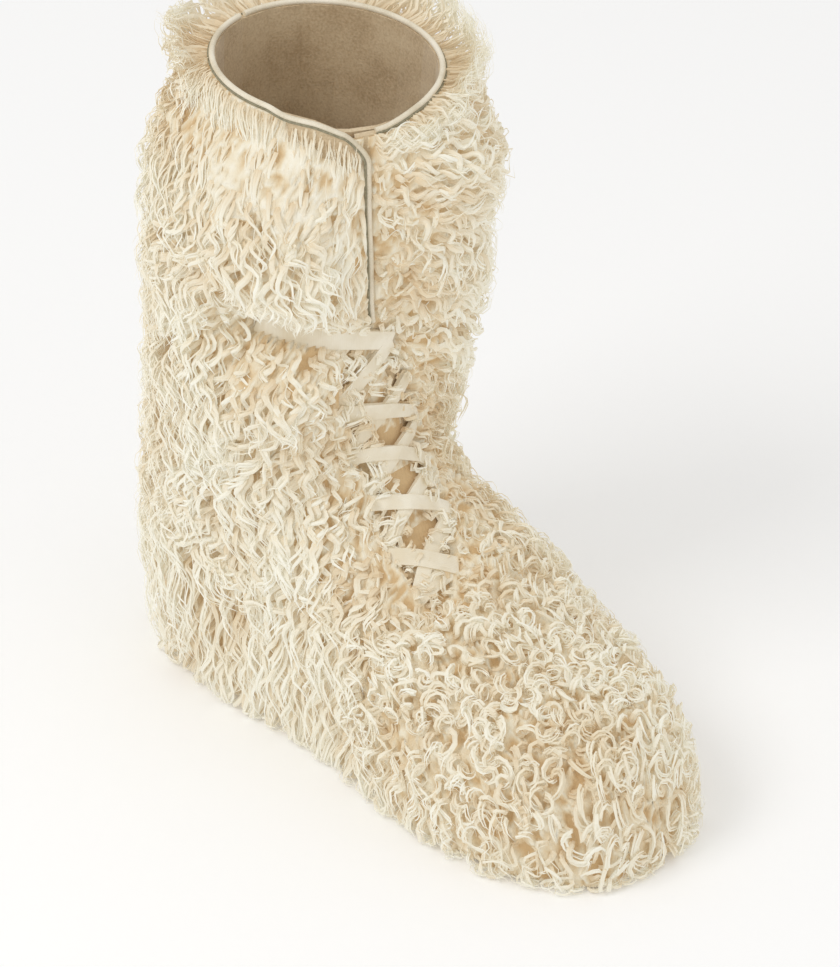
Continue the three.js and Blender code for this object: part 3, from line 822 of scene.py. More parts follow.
@dataclass(frozen=True)
class Field:
    """Where the wool grows, how deep it stands and which way it lies.

    Bands over stations run from the toe to the collar, and bands across from the inner side to the
    outer side. A value named least or share says how much of the height or the depth is left.
    """

    sole_end: float = 11.6
    sole_top: float = 15.0
    sole_slope: float = -0.6
    bare_stations: Band = (6.75, 15.2)
    lap_start: float = 15.3
    piping_strip: Band = (0.2, 3.0)
    bar_half: float = 3.6
    bar_clearance: float = 3.0
    rim_gap: float = 0.02

    lacing_margin: float = 9.0
    lock_margin: float = 21.0
    lacing_stations: Band = (6.6, 15.3)
    lacing_band: Band = (-2, 20)
    lacing_least: float = 0.30

    bar_outer: Band = (14.8, 12.0)
    bar_inner: Band = (16.35, -40.0)
    bar_overrun: float = 2.0
    station_mm: float = 19.0
    above_bar: Band = (3, 30)
    above_least: float = 0.22
    below_bar: Band = (2, 22)
    below_least: float = 0.35

    rim_height: float = 22.0
    rim_stations: Band = (19.0, 20.0)
    front: Band = (-95, -55)
    front_rim_stations: Band = (19.2, 20.0)
    front_rim_end: Band = (40, 75)
    front_rim_loss: float = 0.62
    collar_stations: Band = (17.5, 19.5)
    collar_loss: float = 0.45

    edge_middle: float = 1.5
    edge_across: Band = (-70, 60)
    edge_stations: float = 15.0
    edge_band: Band = (0, 32)
    edge_least: float = 0.16
    inner_band: Band = (1, 14)
    inner_share: float = 0.42

    bed_share: float = 0.68
    bed_least: float = 0.6
    lap_bed: float = 3.9
    lap_bed_start: float = 15.4
    bald_bed: float = 0.4
    rim_taper: Band = (0.0, 0.8)
    rim_taper_least: float = 0.15

    hang_from: float = 62.0
    hang_to: float = 2.5

    down: tuple[float, float, float] = (0.15, 0.0, -1.0)
    forward: tuple[float, float, float] = (1.0, 0.0, -0.25)
    forward_share: float = 0.6
    forward_stations: Band = (5.5, 9.5)
    aside_stations: Band = (13.5, 15.5)
    aside_outer: Band = (2.2, 50)
    aside_inner: Band = (0.22, 30)
    part_stations: Band = (6.4, 14.5)
    part_aside: Band = (0.5, 26)
    combed_band: Band = (-95, -60)
    combed_end: float = 45.0
    up_stations: Band = (18.9, 20.1)
    up: float = 1.7
    low_heights: Band = (30, 60)
    low_start: float = 3.0
    backward: float = 0.5

    def bare_width(self, station: Array) -> Array:
        """Half width of the bare strip that carries the lacing."""
        return np.interp(station, BARE_STATIONS, BARE_WIDTHS)

    def bears(self, station: Array, angle: Array, margin: float = 0.0,
              lacing: float = lacing_margin) -> Array:
        """Whether wool grows at a place.

        Args:
            station: Stations from the toe.
            angle: Angles round the sections.
            margin: Extra width kept bare on both sides of the piping and the bar.
            lacing: Width by which the wool comes over the bare strip of the lacing.

        Returns:
            False under the sole, on the lacing, under the top bar and along the lap's piping.
        """
        point, normal = LAST.point(station, angle), LAST.normal(station, angle)
        across = LAST.across(station, angle)
        low = (normal[..., 2] < self.sole_slope) | (point[..., 2] < self.sole_top)
        low = low & (station < self.sole_end)
        bare = np.abs(across) < self.bare_width(station) - lacing
        bare = bare & within(self.bare_stations, station)
        strip = (self.piping_strip[0] - margin, self.piping_strip[1] + margin)
        piping = (station > self.lap_start) & within(strip, across - LAST.lap_overhang)
        bar = self.from_bar(station, angle, True) < self.bar_half + self.bar_clearance * margin
        bar = bar | (self.from_bar(station, angle, False) < self.bar_half + margin)
        past_rim = station > LAST.rim(angle) - self.rim_gap
        return ~(low | bare | piping | bar | past_rim)

    def from_bar(self, station: Array, angle: Array, above: bool) -> Array:
        """Distance from the top bar, on one side of it.

        Args:
            station: Stations from the toe.
            angle: Angles round the sections.
            above: Whether the side towards the collar is meant.

        Returns:
            Distances, and 99 for places on the other side.
        """
        across = LAST.across(station, angle)
        (outer_station, outer), (inner_station, inner) = self.bar_outer, self.bar_inner
        share = np.clip((outer - across) / (outer - inner), 0, 1)
        middle = outer_station + (inner_station - outer_station) * share
        away = (station - middle) * self.station_mm * (1 if above else -1)
        past_end = np.maximum(across - outer - self.bar_overrun, inner - self.bar_overrun - across)
        return np.where(away >= 0, np.hypot(away, 2 * np.maximum(past_end, 0)), 99.0)

    def height(self, station: Array, angle: Array) -> Array:
        """Height of the wool's surface over the skin.

        Args:
            station: Stations from the toe.
            angle: Angles round the sections.

        Returns:
            Heights, lower beside the piping, the lacing and the top bar.
        """
        across = LAST.across(station, angle)
        full = LAST.value(station, "wool")
        near_rim = rise(self.rim_stations, station)
        full = full * (1 - near_rim) + self.rim_height * near_rim
        from_edge = np.abs(across - LAST.lap_overhang - self.edge_middle)
        on_lap = (station > self.edge_stations) & within(self.edge_across, across)
        beside = np.where(on_lap, rise(self.edge_band, from_edge), 1.0)
        inner = np.maximum(beside, self.inner_share * rise(self.inner_band, from_edge))
        beside = np.where(across <= LAST.lap_overhang, inner, beside)
        front = rise(self.front, across)
        collar = rise(self.collar_stations, station) * front * (across < LAST.lap_overhang)
        rim = rise(self.front_rim_stations, station) * front * (1 - rise(self.front_rim_end, across))
        full = full * at_least(self.edge_least, beside) * (1 - self.collar_loss * collar)
        full = full * (1 - self.front_rim_loss * rim)
        above = rise(self.above_bar, self.from_bar(station, angle, True))
        below = rise(self.below_bar, self.from_bar(station, angle, False))
        full = full * at_least(self.above_least, above) * at_least(self.below_least, below)
        lacing = rise(self.lacing_band, np.abs(across) - self.bare_width(station) + self.lacing_margin)
        on_lacing = within(self.lacing_stations, station)
        return full * np.where(on_lacing, at_least(self.lacing_least, lacing), 1.0)

    def bed(self, station: Array, angle: Array) -> Array:
        """Depth of the dense wool that the locks stand on.

        Args:
            station: Stations from the toe.
            angle: Angles round the sections.

        Returns:
            Depths over the skin.
        """
        on_lap = LAST.across(station, angle) < LAST.lap_overhang + 1
        on_lap = on_lap & (station > self.lap_bed_start)
        least = np.where(on_lap, self.lap_bed, self.bed_least)
        depth = np.maximum(self.height(station, angle) * self.bed_share, least)
        to_rim = rise(self.rim_taper, LAST.rim(angle) - station)
        depth = depth * at_least(self.rim_taper_least, to_rim)
        return np.where(self.bears(station, angle), depth, self.bald_bed)

    def hang(self, points: Array) -> Array:
        """Lets the lowest wool hang down to the floor.

        Args:
            points: Places in millimetres.

        Returns:
            The same places, with low ones moved down.
        """
        lowest = np.interp(points[..., 0] + LAST.heel_rest, HEM_X, HEM_Z)
        stretch = (self.hang_from - self.hang_to) / (self.hang_from - lowest)
        hung = self.hang_from - (self.hang_from - points[..., 2]) * stretch
        moved = points.copy()
        moved[..., 2] = np.minimum(points[..., 2], hung)
        return moved

    def flow(self, station: Array, angle: Array) -> Array:
        """Direction in which the locks lie, in the surface's tangent plane.

        Args:
            station: Stations from the toe.
            angle: Angles round the sections.

        Returns:
            Unit vectors: down the shaft and away from the throat, forward on the toe, up at the rim
            and a little backward near the sole.
        """
        across = LAST.across(station, angle)
        outer = across > LAST.lap_overhang

        def fading(aside: Band) -> Array:
            """Share aside at the throat, which fades over a length."""
            return aside[0] * np.exp(-np.abs(across) / aside[1])

        sideways = np.where(outer, fading(self.aside_outer), fading(self.aside_inner))
        sideways = sideways * rise(self.aside_stations, station)
        sideways = sideways + fading(self.part_aside) * within(self.part_stations, station)
        aside = np.where(outer, 1.0, -1.0)[..., None] * LAST.outwards(station, angle)
        down, forward = np.array(self.down), np.array(self.forward)
        on_toe = (1 - rise(self.forward_stations, station))[..., None]
        flow = (down + aside * sideways[..., None]) * (1 - on_toe)
        flow = flow + (forward * self.forward_share + down * self.forward_share) * on_toe
        combed = rise(self.combed_band, across) * (across < self.combed_end)
        flow[..., 2] += self.up * rise(self.up_stations, station) * (1 - combed)
        low = 1 - rise(self.low_heights, LAST.point(station, angle)[..., 2])
        flow[..., 0] -= self.backward * low * (station > self.low_start)
        return unit(off_axis(flow, LAST.normal(station, angle)))


FIELD = Field()


@dataclass(frozen=True)
class Zones:
    """Where each kind of lock grows: bands over stations, places across and heights."""

    vamp_end: Band = (6.6, 8.4)
    low_heights: Band = (30, 50)
    low_stations: Band = (2.5, 5.5)
    low_least: float = 0.3
    low_share: float = 0.6
    front: Band = (-95, -60)
    collar: Band = (18.3, 19.2)
    edge_stations: Band = (15.6, 16.4)
    edge_across: Band = (-12, -3)
    edge_share: float = 0.6
    short_margin: float = 8.0
    short_fade: Band = (0, 10)

    def weights(self, station: Array, across: Array, height: Array) -> Array:
        """Share of each kind of lock at each root.

        Args:
            station: Stations of the roots.
            across: Places across of the roots.
            height: Heights of the roots over the floor.

        Returns:
            One row per kind, in the order of Curl, adding up to one.
        """
        on_vamp = 1 - rise(self.vamp_end, station)
        low_side = at_least(self.low_least, rise(self.low_stations, station))
        low_side = (1 - rise(self.low_heights, height)) * low_side
        on_front = rise(self.front, across) * (across < LAST.lap_overhang)
        beside_edge = self.edge_share * rise(self.edge_stations, station) * rise(self.edge_across, across)
        combed = np.maximum(rise(self.collar, station), beside_edge) * on_front
        from_lacing = np.abs(across) - FIELD.bare_width(station) + self.short_margin
        short = (1 - rise(self.short_fade, from_lacing)) * within(FIELD.lacing_stations, station)
        combed = combed * (1 - short)
        ringlet = on_vamp * (1 - self.low_share * low_side) * (1 - short)
        swept = low_side * (1 - ringlet) * (1 - short) * (1 - combed)
        wavy = np.clip(1 - ringlet - swept - combed - short, 0, 1)
        stack = np.stack([ringlet, wavy, combed, swept, short])
        return stack / stack.sum(0)


ZONES = Zones()


@dataclass
class Wool:
    """The long wool: locks of thin curled strands, rooted all over the boot.

    A swirl and the patches of tone each have the size of their noise, its shift and how much it
    changes. The pairs for rises, reaches, turns and sizes are the least and the most that a lock or a
    strand is scaled by.
    """

    spacing: float = 4.25
    tries: int = 60000
    cells: tuple[int, int] = (160, 120)
    first_station: float = 0.15
    root_level: float = 0.6
    root_margin: float = 0.8
    rim_locks: int = 190
    rim_rows: Band = (0.06, 0.2)
    rim_jitter: float = 0.015
    rim_zone: float = 0.3
    rim_width: float = 0.5
    ringlet_widths: tuple[float, ...] = (1.0, 0.9, 0.7, 0.32)
    curly_widths: tuple[float, ...] = (1.0, 0.7, 0.24)
    plain_widths: tuple[float, ...] = (1.0, 0.7, 0.4, 0.24)
    curly_rings: int = 10
    plain_rings: int = 6
    curly_turns: float = 1.28
    ringlet_width: float = 1.2
    toe_end: float = 4.4
    vamp_end: float = 7.6
    shaft_start: Band = (14.6, 15.6)
    sides: int = 3
    flatness: float = 0.5
    stray_width: float = 0.5
    stray_share: float = 0.3
    tones: int = 24
    root_depth: float = 2.0
    least_rise: float = 3.2
    coarse_swirl: tuple[float, float, float] = (26, 0, 1.6)
    fine_swirl: tuple[float, float, float] = (11, 40, 0.9)
    swirl_turn: float = 1.2
    turn_stray: float = 0.45
    swirl_rise: float = 0.2
    lock_rises: Band = (0.85, 1.12)
    least_rises: Band = (0.7, 1.2)
    lock_reaches: Band = (0.8, 1.2)
    full_height: float = 20.0
    short_reach: float = 0.55
    bar_room: float = 6.0
    least_reach: float = 1.5
    tone_patches: tuple[float, float, float] = (34, 90, 0.65)
    lock_tones: float = 0.12
    lock_tone_limits: Band = (0.02, 0.96)
    strand_rises: Band = (0.85, 1.06)
    strand_reaches: Band = (0.85, 1.1)
    strand_turns: Band = (0.8, 1.2)
    strand_sizes: Band = (0.85, 1.15)
    strand_tones: float = 0.06
    strand_tone_limits: Band = (0.02, 0.97)
    loose_rise: float = 1.12
    loose_stray: float = 0.9
    bound_stray: float = 0.3
    coil_stray: float = 0.6
    coil_depth: float = 0.8
    coil_start: Band = (-0.1, 0.4)
    clump_spacing: float = 17.0
    clump_pull: float = 0.3
    lap_stations: float = 15.2
    lap_reach: float = 40.0
    edge_room: Band = (1.7, 4.6)
    floor_gap: float = 1.6
    floor_jitter: float = 1.5
    soft_top: float = 311.0
    top_squeeze: float = 0.35
    rng: np.random.Generator = field(default_factory=lambda: np.random.default_rng(SEED))

    def build(self, finish: bpy.types.Material) -> None:
        """Grows the wool and splits it by panel.

        Args:
            finish: The wool's finish.
        """
        station, angle = self._roots()
        locks = self._locks(station, angle)
        outer = locks["outer"]
        high = station > np.where(outer, self.shaft_start[1], self.shaft_start[0])
        vamp = station < self.vamp_end
        toe = station < self.toe_end
        panels = (
            ("wool_vamp_toe", vamp & toe, "fleece_vamp"),
            ("wool_vamp_top", vamp & ~toe, "fleece_vamp"),
            ("wool_quarter_medial", ~vamp & ~high & ~outer, "fleece_quarter_medial"),
            ("wool_shaft_medial", ~vamp & high & ~outer, "fleece_quarter_medial"),
            ("wool_quarter_lateral", ~vamp & ~high & outer, "fleece_quarter_lateral"),
            ("wool_shaft_lateral", ~vamp & high & outer, "fleece_quarter_lateral"),
        )
        curly = locks["turns"] > self.curly_turns
        kinds = (
            (curly & vamp & (locks["width"] < self.ringlet_width), self.curly_rings, self.ringlet_widths),
            (curly, self.curly_rings, self.curly_widths),
            (np.ones_like(curly), self.plain_rings, self.plain_widths),
        )
        for name, left, node in panels:
            bundles = []
            for wanted, rings, widths in kinds:
                members = np.flatnonzero(left & wanted)
                left = left & ~wanted
                if len(members):
                    bundles.append(self._strands(locks, members, rings, widths))
            settle(self._piece(name, bundles), finish, "wool", node)

    def _roots(self) -> tuple[Array, Array]:
        """Scatters roots evenly over the wool-bearing surface, with two rows along the rim.

        Returns:
            Stations and angles of the roots.
        """
        rows, columns = self.cells
        u_edges = np.linspace(self.first_station, LAST.collar, rows + 1)
        v_edges = np.linspace(0, TURN, columns + 1)
        u, v = np.meshgrid(u_edges, v_edges, indexing="ij")
        grid = self._level(u, v)
        along, around = grid[1:, :-1] - grid[:-1, :-1], grid[:-1, 1:] - grid[:-1, :-1]
        area = np.linalg.norm(np.cross(along, around), axis=-1)
        cell = self.rng.choice(area.size, size=self.tries, p=(area / area.sum()).ravel())
        station = u_edges[cell // columns] + self.rng.random(self.tries) * (u_edges[1] - u_edges[0])
        angle = v_edges[cell % columns] + self.rng.random(self.tries) * (v_edges[1] - v_edges[0])
        allowed = FIELD.bears(station, angle, self.root_margin, FIELD.lock_margin)
        station, angle = station[allowed], angle[allowed]
        kept = spread_out(self._level(station, angle), self.spacing)
        LOG.info("locks: %d", len(kept))
        rim_angle = np.tile(np.linspace(0, TURN, self.rim_locks, endpoint=False), 2)
        rim_angle = rim_angle + self.rng.uniform(-self.rim_jitter, self.rim_jitter, len(rim_angle))
        rim_station = LAST.rim(rim_angle) - np.repeat(self.rim_rows, self.rim_locks)
        grows = FIELD.bears(rim_station, rim_angle, self.root_margin)
        station = np.concatenate([station[kept], rim_station[grows]])
        return station, np.concatenate([angle[kept], rim_angle[grows]])

    def _level(self, station: Array, angle: Array) -> Array:
        """Points part of the way up the wool, where the locks are spread evenly."""
        return LAST.surface(station, angle, FIELD.height(station, angle) * self.root_level)

    def _locks(self, station: Array, angle: Array) -> dict[str, Array]:
        """Works out root, directions and shape of every lock.

        Args:
            station: Stations of the roots.
            angle: Angles of the roots.

        Returns:
            Arrays by name, one entry per lock.
        """
        count, rng = len(station), self.rng
        skin, normal = LAST.point(station, angle), LAST.normal(station, angle)
        across = LAST.across(station, angle)
        weights = ZONES.weights(station, across, skin[:, 2])
        style = {
            name: sum(weights[i] * getattr(STYLES[kind], name) for i, kind in enumerate(Curl))
            for name in Style.__dataclass_fields__
        }
        (coarse, coarse_shift, much), (fine, fine_shift, little) = self.coarse_swirl, self.fine_swirl
        swirl = noise_at(skin, coarse, coarse_shift) * much + noise_at(skin, fine, fine_shift) * little
        turn = style["stray"] * (swirl * self.swirl_turn + rng.normal(0, self.turn_stray, count))
        flow = FIELD.flow(station, angle)
        side = np.cross(normal, flow)
        cosine, sine = np.cos(turn)[:, None], np.sin(turn)[:, None]
        flow, side = flow * cosine + side * sine, side * cosine - flow * sine
        height, bed = FIELD.height(station, angle), FIELD.bed(station, angle)
        depth = np.maximum(bed - self.root_depth, 0.3)
        root = skin + normal * depth[:, None]
        size = rng.uniform(*self.lock_rises, count)
        above_bed = (height - bed) * style["rise"] * size * (1 + self.swirl_rise * swirl)
        above_bed = np.maximum(above_bed, self.least_rise * rng.uniform(*self.least_rises, count))
        above_root = above_bed + bed - depth
        reach = style["reach"] * rng.uniform(*self.lock_reaches, count)
        reach = reach * at_least(self.short_reach, height / self.full_height)
        room = np.maximum(FIELD.from_bar(station, angle, True) - self.bar_room, self.least_reach)
        reach = np.minimum(reach, room)
        tip = root + normal * above_root[:, None] + flow * reach[:, None]
        patch, patch_shift, change = self.tone_patches
        tone = style["golden"] + change * noise_at(skin, patch, patch_shift)
        tone = np.clip(tone + rng.normal(0, self.lock_tones, count), *self.lock_tone_limits)
        near_rim = station > LAST.rim(angle) - self.rim_zone
        from_edge = np.abs(across - LAST.lap_overhang)
        return {
            "root": root, "normal": normal, "flow": flow, "side": side, "rise": above_root,
            "reach": reach, "pull": self._clump_pull(skin, tip), "tone": tone,
            "outer": across > LAST.lap_overhang, "coil": style["coil"], "turns": style["turns"],
            "spread": style["spread"], "gather": style["gather"],
            "width": style["width"] * np.where(near_rim, self.rim_width, 1.0),
            "across": across, "aside": LAST.outwards(station, angle),
            "beside_lap": (station > self.lap_stations) & (from_edge < self.lap_reach),
        }

    def _clump_pull(self, skin: Array, tip: Array) -> Array:
        """Draws the tips of each clump of locks together.

        Args:
            skin: Places of the locks on the skin.
            tip: Places of their tips.

        Returns:
            Shift of each tip towards the middle of its clump.
        """
        middle = skin[spread_out(skin, self.clump_spacing)]
        nearest = np.array([np.linalg.norm(middle - p, axis=1).argmin() for p in skin])
        shift = np.zeros_like(tip)
        for k in range(len(middle)):
            members = nearest == k
            shift[members] = tip[members].mean(0) - tip[members]
        return shift * self.clump_pull

    def _off_piping(self, paths: Array, get: dict[str, Array]) -> Array:
        """Moves strands beside the lap's free edge off its piping.

        Args:
            paths: Points of each strand.
            get: Arrays of the strands' locks.

        Returns:
            The paths, moved to either side where they lay over the piping.
        """
        aside = get["aside"][:, None]
        across = ((paths - get["root"][:, None]) * aside).sum(-1) + get["across"][:, None]
        inner_end = LAST.lap_overhang - self.edge_room[0]
        outer_start = LAST.lap_overhang + self.edge_room[1]
        to_outer, to_inner = np.maximum(outer_start - across, 0), np.minimum(inner_end - across, 0)
        shift = np.where(get["outer"][:, None], to_outer, to_inner)
        return paths + aside * np.where(get["beside_lap"][:, None], shift, 0.0)[..., None]

    def _strands(self, locks: dict[str, Array], members: Array, rings: int,
                 widths: tuple[float, ...]) -> tuple[Array, ...]:
        """Spreads locks into flat strands.

        Args:
            locks: Arrays of the locks.
            members: Numbers of the locks wanted.
            rings: Rings of each strand.
            widths: Share of the lock's width that each of its strands has.

        Returns:
            Paths of shape (strands, rings + 1, 3), outward directions, tones and half widths.
        """
        rng, count = self.rng, len(members)
        owner = np.repeat(np.arange(count), len(widths))
        total = len(owner)
        get = {key: value[members][owner] for key, value in locks.items()}
        share = np.tile(np.array(widths), count)
        loose = share < self.stray_share
        t = np.linspace(0, 1, rings + 1)[None, :]
        arch = np.sin(0.5 * math.pi * t**0.75) * (1 - 0.15 * t**3)
        up = get["rise"] * rng.uniform(*self.strand_rises, total) * np.where(loose, self.loose_rise, 1)
        up = up[:, None] * arch
        ahead = (get["reach"] * rng.uniform(*self.strand_reaches, total))[:, None] * t**1.35
        centre = get["root"][:, None] + get["normal"][:, None] * up[..., None]
        centre = centre + get["flow"][:, None] * ahead[..., None]
        centre = centre + get["pull"][:, None] * (t**1.5)[..., None]
        axis = unit(get["normal"] * get["rise"][:, None] + get["flow"] * get["reach"][:, None])
        first = get["side"]
        second = np.cross(axis, first)
        stray = np.where(loose, self.loose_stray, self.bound_stray)
        phase = rng.uniform(0, TURN, count)[owner] + rng.normal(0, 1, total) * stray
        hand = np.where(rng.random(count) > 0.5, 1.0, -1.0)[owner]
        turns = (get["turns"] * rng.uniform(*self.strand_turns, count)[owner])[:, None]
        coil = get["coil"] * (1 + stray * rng.uniform(-self.coil_stray, self.coil_stray, total))
        coil = coil[:, None] * rise(self.coil_start, t)
        around = phase[:, None] + hand[:, None] * TURN * turns * t
        wave = first[:, None] * (np.cos(around) * coil)[..., None]
        wave = wave + second[:, None] * (np.sin(around) * coil * self.coil_depth)[..., None]
        where = rng.uniform(0, TURN, total)
        out = np.sqrt(rng.random(total)) * get["spread"]
        bundle = first * (np.cos(where) * out)[:, None] + second * (np.sin(where) * out)[:, None]
        gather = 1 - (1 - get["gather"][:, None]) * t
        paths = self._off_piping(centre + wave + bundle[:, None] * gather[..., None], get)
        paths = self._between(FIELD.hang(paths))
        tone = get["tone"] + rng.normal(0, self.strand_tones, total)
        tone = np.clip(tone, *self.strand_tone_limits)
        width = get["width"] * share * rng.uniform(*self.strand_sizes, total)
        return paths, get["normal"], tone, width

    def _between(self, paths: Array) -> Array:
        """Keeps strands off the floor and presses down the tallest.

        Args:
            paths: Points of each strand.

        Returns:
            The same paths.
        """
        squeezed = self.soft_top + (paths[..., 2] - self.soft_top) * self.top_squeeze
        low = self.floor_gap + self.rng.random((len(paths), 1)) * self.floor_jitter
        paths[..., 2] = np.maximum(np.minimum(paths[..., 2], squeezed), low)
        return paths

    def _piece(self, name: str, bundles: list[tuple[Array, ...]]) -> bpy.types.Object:
        """Joins bundles of strands in one mesh.

        Args:
            name: The piece's name.
            bundles: Paths, outward directions, tones and half widths of each bundle.

        Returns:
            The piece.
        """
        points, triangles, places, start = [], [], [], 0
        for paths, outward, tone, width in bundles:
            shape = self._shape(paths, outward, width)
            faces, corners = self._strand_faces(paths.shape[1] - 1)
            numbers = faces[None] + (start + np.arange(len(shape)) * shape.shape[1])[:, None, None]
            column = np.floor(tone * self.tones) / self.tones
            uv = np.broadcast_to(corners[None], (len(shape), *corners.shape)).copy()
            uv[..., 0] = column[:, None, None] + uv[..., 0] / self.tones
            points.append(shape.reshape(-1, 3))
            triangles.append(numbers.reshape(-1, 3))
            places.append(uv.reshape(-1, 2))
            start += shape.shape[0] * shape.shape[1]
        joined = (np.concatenate(parts) for parts in (points, triangles))
        return triangle_mesh(name, *joined, False, np.concatenate(places))

    def _shape(self, paths: Array, outward: Array, width: Array) -> Array:
        """Points of flat strands with a raised back and a point at the tip.

        Args:
            paths: Points of each strand, root first.
            outward: Direction away from the skin at each root.
            width: Half width of each strand.

        Returns:
            Points of shape (strands, rings * sides + 1, 3).
        """
        total, rings = paths.shape[0], paths.shape[1] - 1
        tangent = unit(np.gradient(paths, axis=1))
        reference = unit(np.cross(tangent[:, 0], outward + 0.01))
        thin = np.where(width < self.stray_width, 1.0, self.flatness)
        points = np.empty((total, rings, self.sides, 3))
        for k in range(rings):
            ahead = np.cross(tangent[:, k], outward)
            reference = reference * 0.6 + ahead * np.sign((ahead * reference).sum(-1, keepdims=True))
            reference = unit(off_axis(reference, tangent[:, k]))
            back = np.cross(reference, tangent[:, k])
            half = width * at_least(0.08, (1 - k / rings) ** 0.75)
            points[:, k, 0] = paths[:, k] - reference * half[:, None]
            points[:, k, 1] = paths[:, k] + back * (half * thin)[:, None]
            points[:, k, 2] = paths[:, k] + reference * half[:, None]
        return np.concatenate([points.reshape(total, -1, 3), paths[:, -1:]], 1)

    def _strand_faces(self, rings: int) -> tuple[Array, Array]:
        """Faces of one strand, and the texture place of each corner.

        Args:
            rings: Rings of the strand.

        Returns:
            Point numbers of shape (faces, 3) and places of shape (faces, 3, 2).
        """
        corners = []
        for k in range(rings - 1):
            for s in range(self.sides):
                corners.append(((k, s), (k, s + 1), (k + 1, s + 1)))
                corners.append(((k, s), (k + 1, s + 1), (k + 1, s)))
        corners += [((rings - 1, s), (rings - 1, s + 1), (rings, 1)) for s in range(self.sides)]
        corners.append(((0, 0), (0, 2), (0, 1)))
        ring, side = np.moveaxis(np.array(corners), -1, 0)
        side = side % self.sides
        numbers = np.minimum(ring * self.sides + side, rings * self.sides)
        places = np.stack([0.05 + 0.9 * side / (self.sides - 1), 0.01 + 0.98 * ring / rings], -1)
        places[-1, -1, 1] = 0.005
        return numbers, places


@dataclass
class Underfur:
    """Dense curly wool on the skin, which shows between the locks, as one closed shell."""

    rows: int = 230
    columns: int = 256
    inner_rows: int = 14
    first_station: float = 0.02
    rim_gap: float = 0.03
    relief: float = 3.2
    warp_size: float = 9.0
    warp: float = 5.0
    coarse_size: float = 4.6
    coarse_sharpness: float = 2.4
    coarse_share: float = 0.68
    fine_size: float = 2.1
    fine_shift: tuple[float, float, float] = (7, 3, 1)
    fine_sharpness: float = 2.2
    fine_share: float = 0.32
    mean_crest: float = 0.62
    swell_size: float = 14.0
    swell: float = 0.2
    full_height: float = 14.0
    least_strength: float = 0.25
    sunk: float = -1.0
    thickness: float = 0.4
    floor_gap: float = 2.0
    shaft_stations: Band = (8, 12)
    shaft_squeeze: float = 0.45
    combed_stations: Band = (16.6, 18.4)
    combed_across: Band = (-75, -45)
    combed_crest: float = 0.22

    def build(self, finish: bpy.types.Material) -> None:
        """Makes the underfur over the skin.

        Args:
            finish: The underfur's finish.
        """
        station = np.linspace(self.first_station, LAST.collar, self.rows)
        angle = np.linspace(0, TURN, self.columns, endpoint=False)
        u, v = np.meshgrid(station, angle, indexing="ij")
        u = np.minimum(u, LAST.rim(v) - self.rim_gap)
        crest = self._crest(u, v)
        depth = self._depth(u, v, crest)
        outer = LAST.surface(u, v, depth)
        hung = FIELD.hang(outer)
        hung[..., 2] = np.maximum(hung[..., 2], self.floor_gap)
        outer = np.where((depth > 0)[..., None], hung, outer)
        chosen = np.linspace(0, self.rows - 1, self.inner_rows).astype(int)
        inner_depth = np.full(u[chosen].shape, self.sunk - self.thickness)
        inner = LAST.surface(u[chosen], v[chosen], inner_depth)
        points = np.concatenate([outer.reshape(-1, 3), inner.reshape(-1, 3)])
        piece = triangle_mesh("underfur", points, self._faces(), True)
        # The crest values also colour the underfur, where the darker hollows are partly painted shade.
        shade = piece.data.attributes.new("crest", "FLOAT", "POINT")
        values = np.concatenate([crest.ravel(), np.zeros(inner.size // 3)])
        shade.data.foreach_set("value", values.astype(np.float32))
        settle(piece, finish, "wool")

    def _crest(self, station: Array, angle: Array) -> Array:
        """Relief of the curls.

        Args:
            station: Stations of the shell's points.
            angle: Angles of the shell's points.

        Returns:
            Values from 0 in the hollows to 1 on the crests.
        """
        skin = LAST.point(station, angle)
        squeeze = 1 - self.shaft_squeeze * rise(self.shaft_stations, station)
        fine_shift = Vector(self.fine_shift)
        noise.seed_set(SEED)  # noise_vector takes its shifts from this seed, or else from the clock
        values = []
        for p, upright in zip(skin.reshape(-1, 3), squeeze.ravel()):
            place = Vector(p)
            warp = noise.noise_vector(place / self.warp_size) * self.warp
            q = Vector((place.x + warp.x, place.y + warp.y, (place.z + warp.z) * upright))
            coarse = 1 - abs(noise.noise(q / self.coarse_size)) * self.coarse_sharpness
            fine = 1 - abs(noise.noise(q / self.fine_size + fine_shift)) * self.fine_sharpness
            values.append(self.coarse_share * coarse + self.fine_share * fine)
        across = LAST.across(station, angle)
        on_lap = rise(self.combed_stations, station) * rise(self.combed_across, across)
        on_lap = on_lap * (across < LAST.lap_overhang + 2)
        return np.clip(np.array(values).reshape(station.shape) + self.combed_crest * on_lap, 0, 1)

    def _depth(self, station: Array, angle: Array, crest: Array) -> Array:
        """Depth of the underfur.

        Args:
            station: Stations of the shell's points.
            angle: Angles of the shell's points.
            crest: Relief of the curls there.

        Returns:
            Depths over the skin, sunk into the wall where no wool grows.
        """
        swell = noise_at(LAST.point(station, angle), self.swell_size) * self.swell
        strength = np.clip(FIELD.height(station, angle) / self.full_height, self.least_strength, 1)
        curls = (crest - self.mean_crest) * self.relief * strength
        depth = FIELD.bed(station, angle) * (1 + swell) + curls
        return np.where(FIELD.bears(station, angle), depth, self.sunk)

    def _faces(self) -> Array:
        """Faces of the outer and inner skins, joined at the rim and closed at the toe.

        Returns:
            Three point numbers for each face.
        """
        n = self.columns
        ring = np.arange(n)
        after = (ring + 1) % n

        def band(start: int, end: int, flip: bool) -> Array:
            """Triangles between two rings.

            Args:
                start: Number of the first ring.
                end: Number of the second ring.
                flip: Whether the faces point inwards.

            Returns:
                Three point numbers for each face.
            """
            a, b, c, d = start * n + ring, start * n + after, end * n + after, end * n + ring
            first = np.stack([a, c, b] if flip else [a, b, c], 1)
            second = np.stack([a, d, c] if flip else [a, c, d], 1)
            return np.concatenate([first, second])

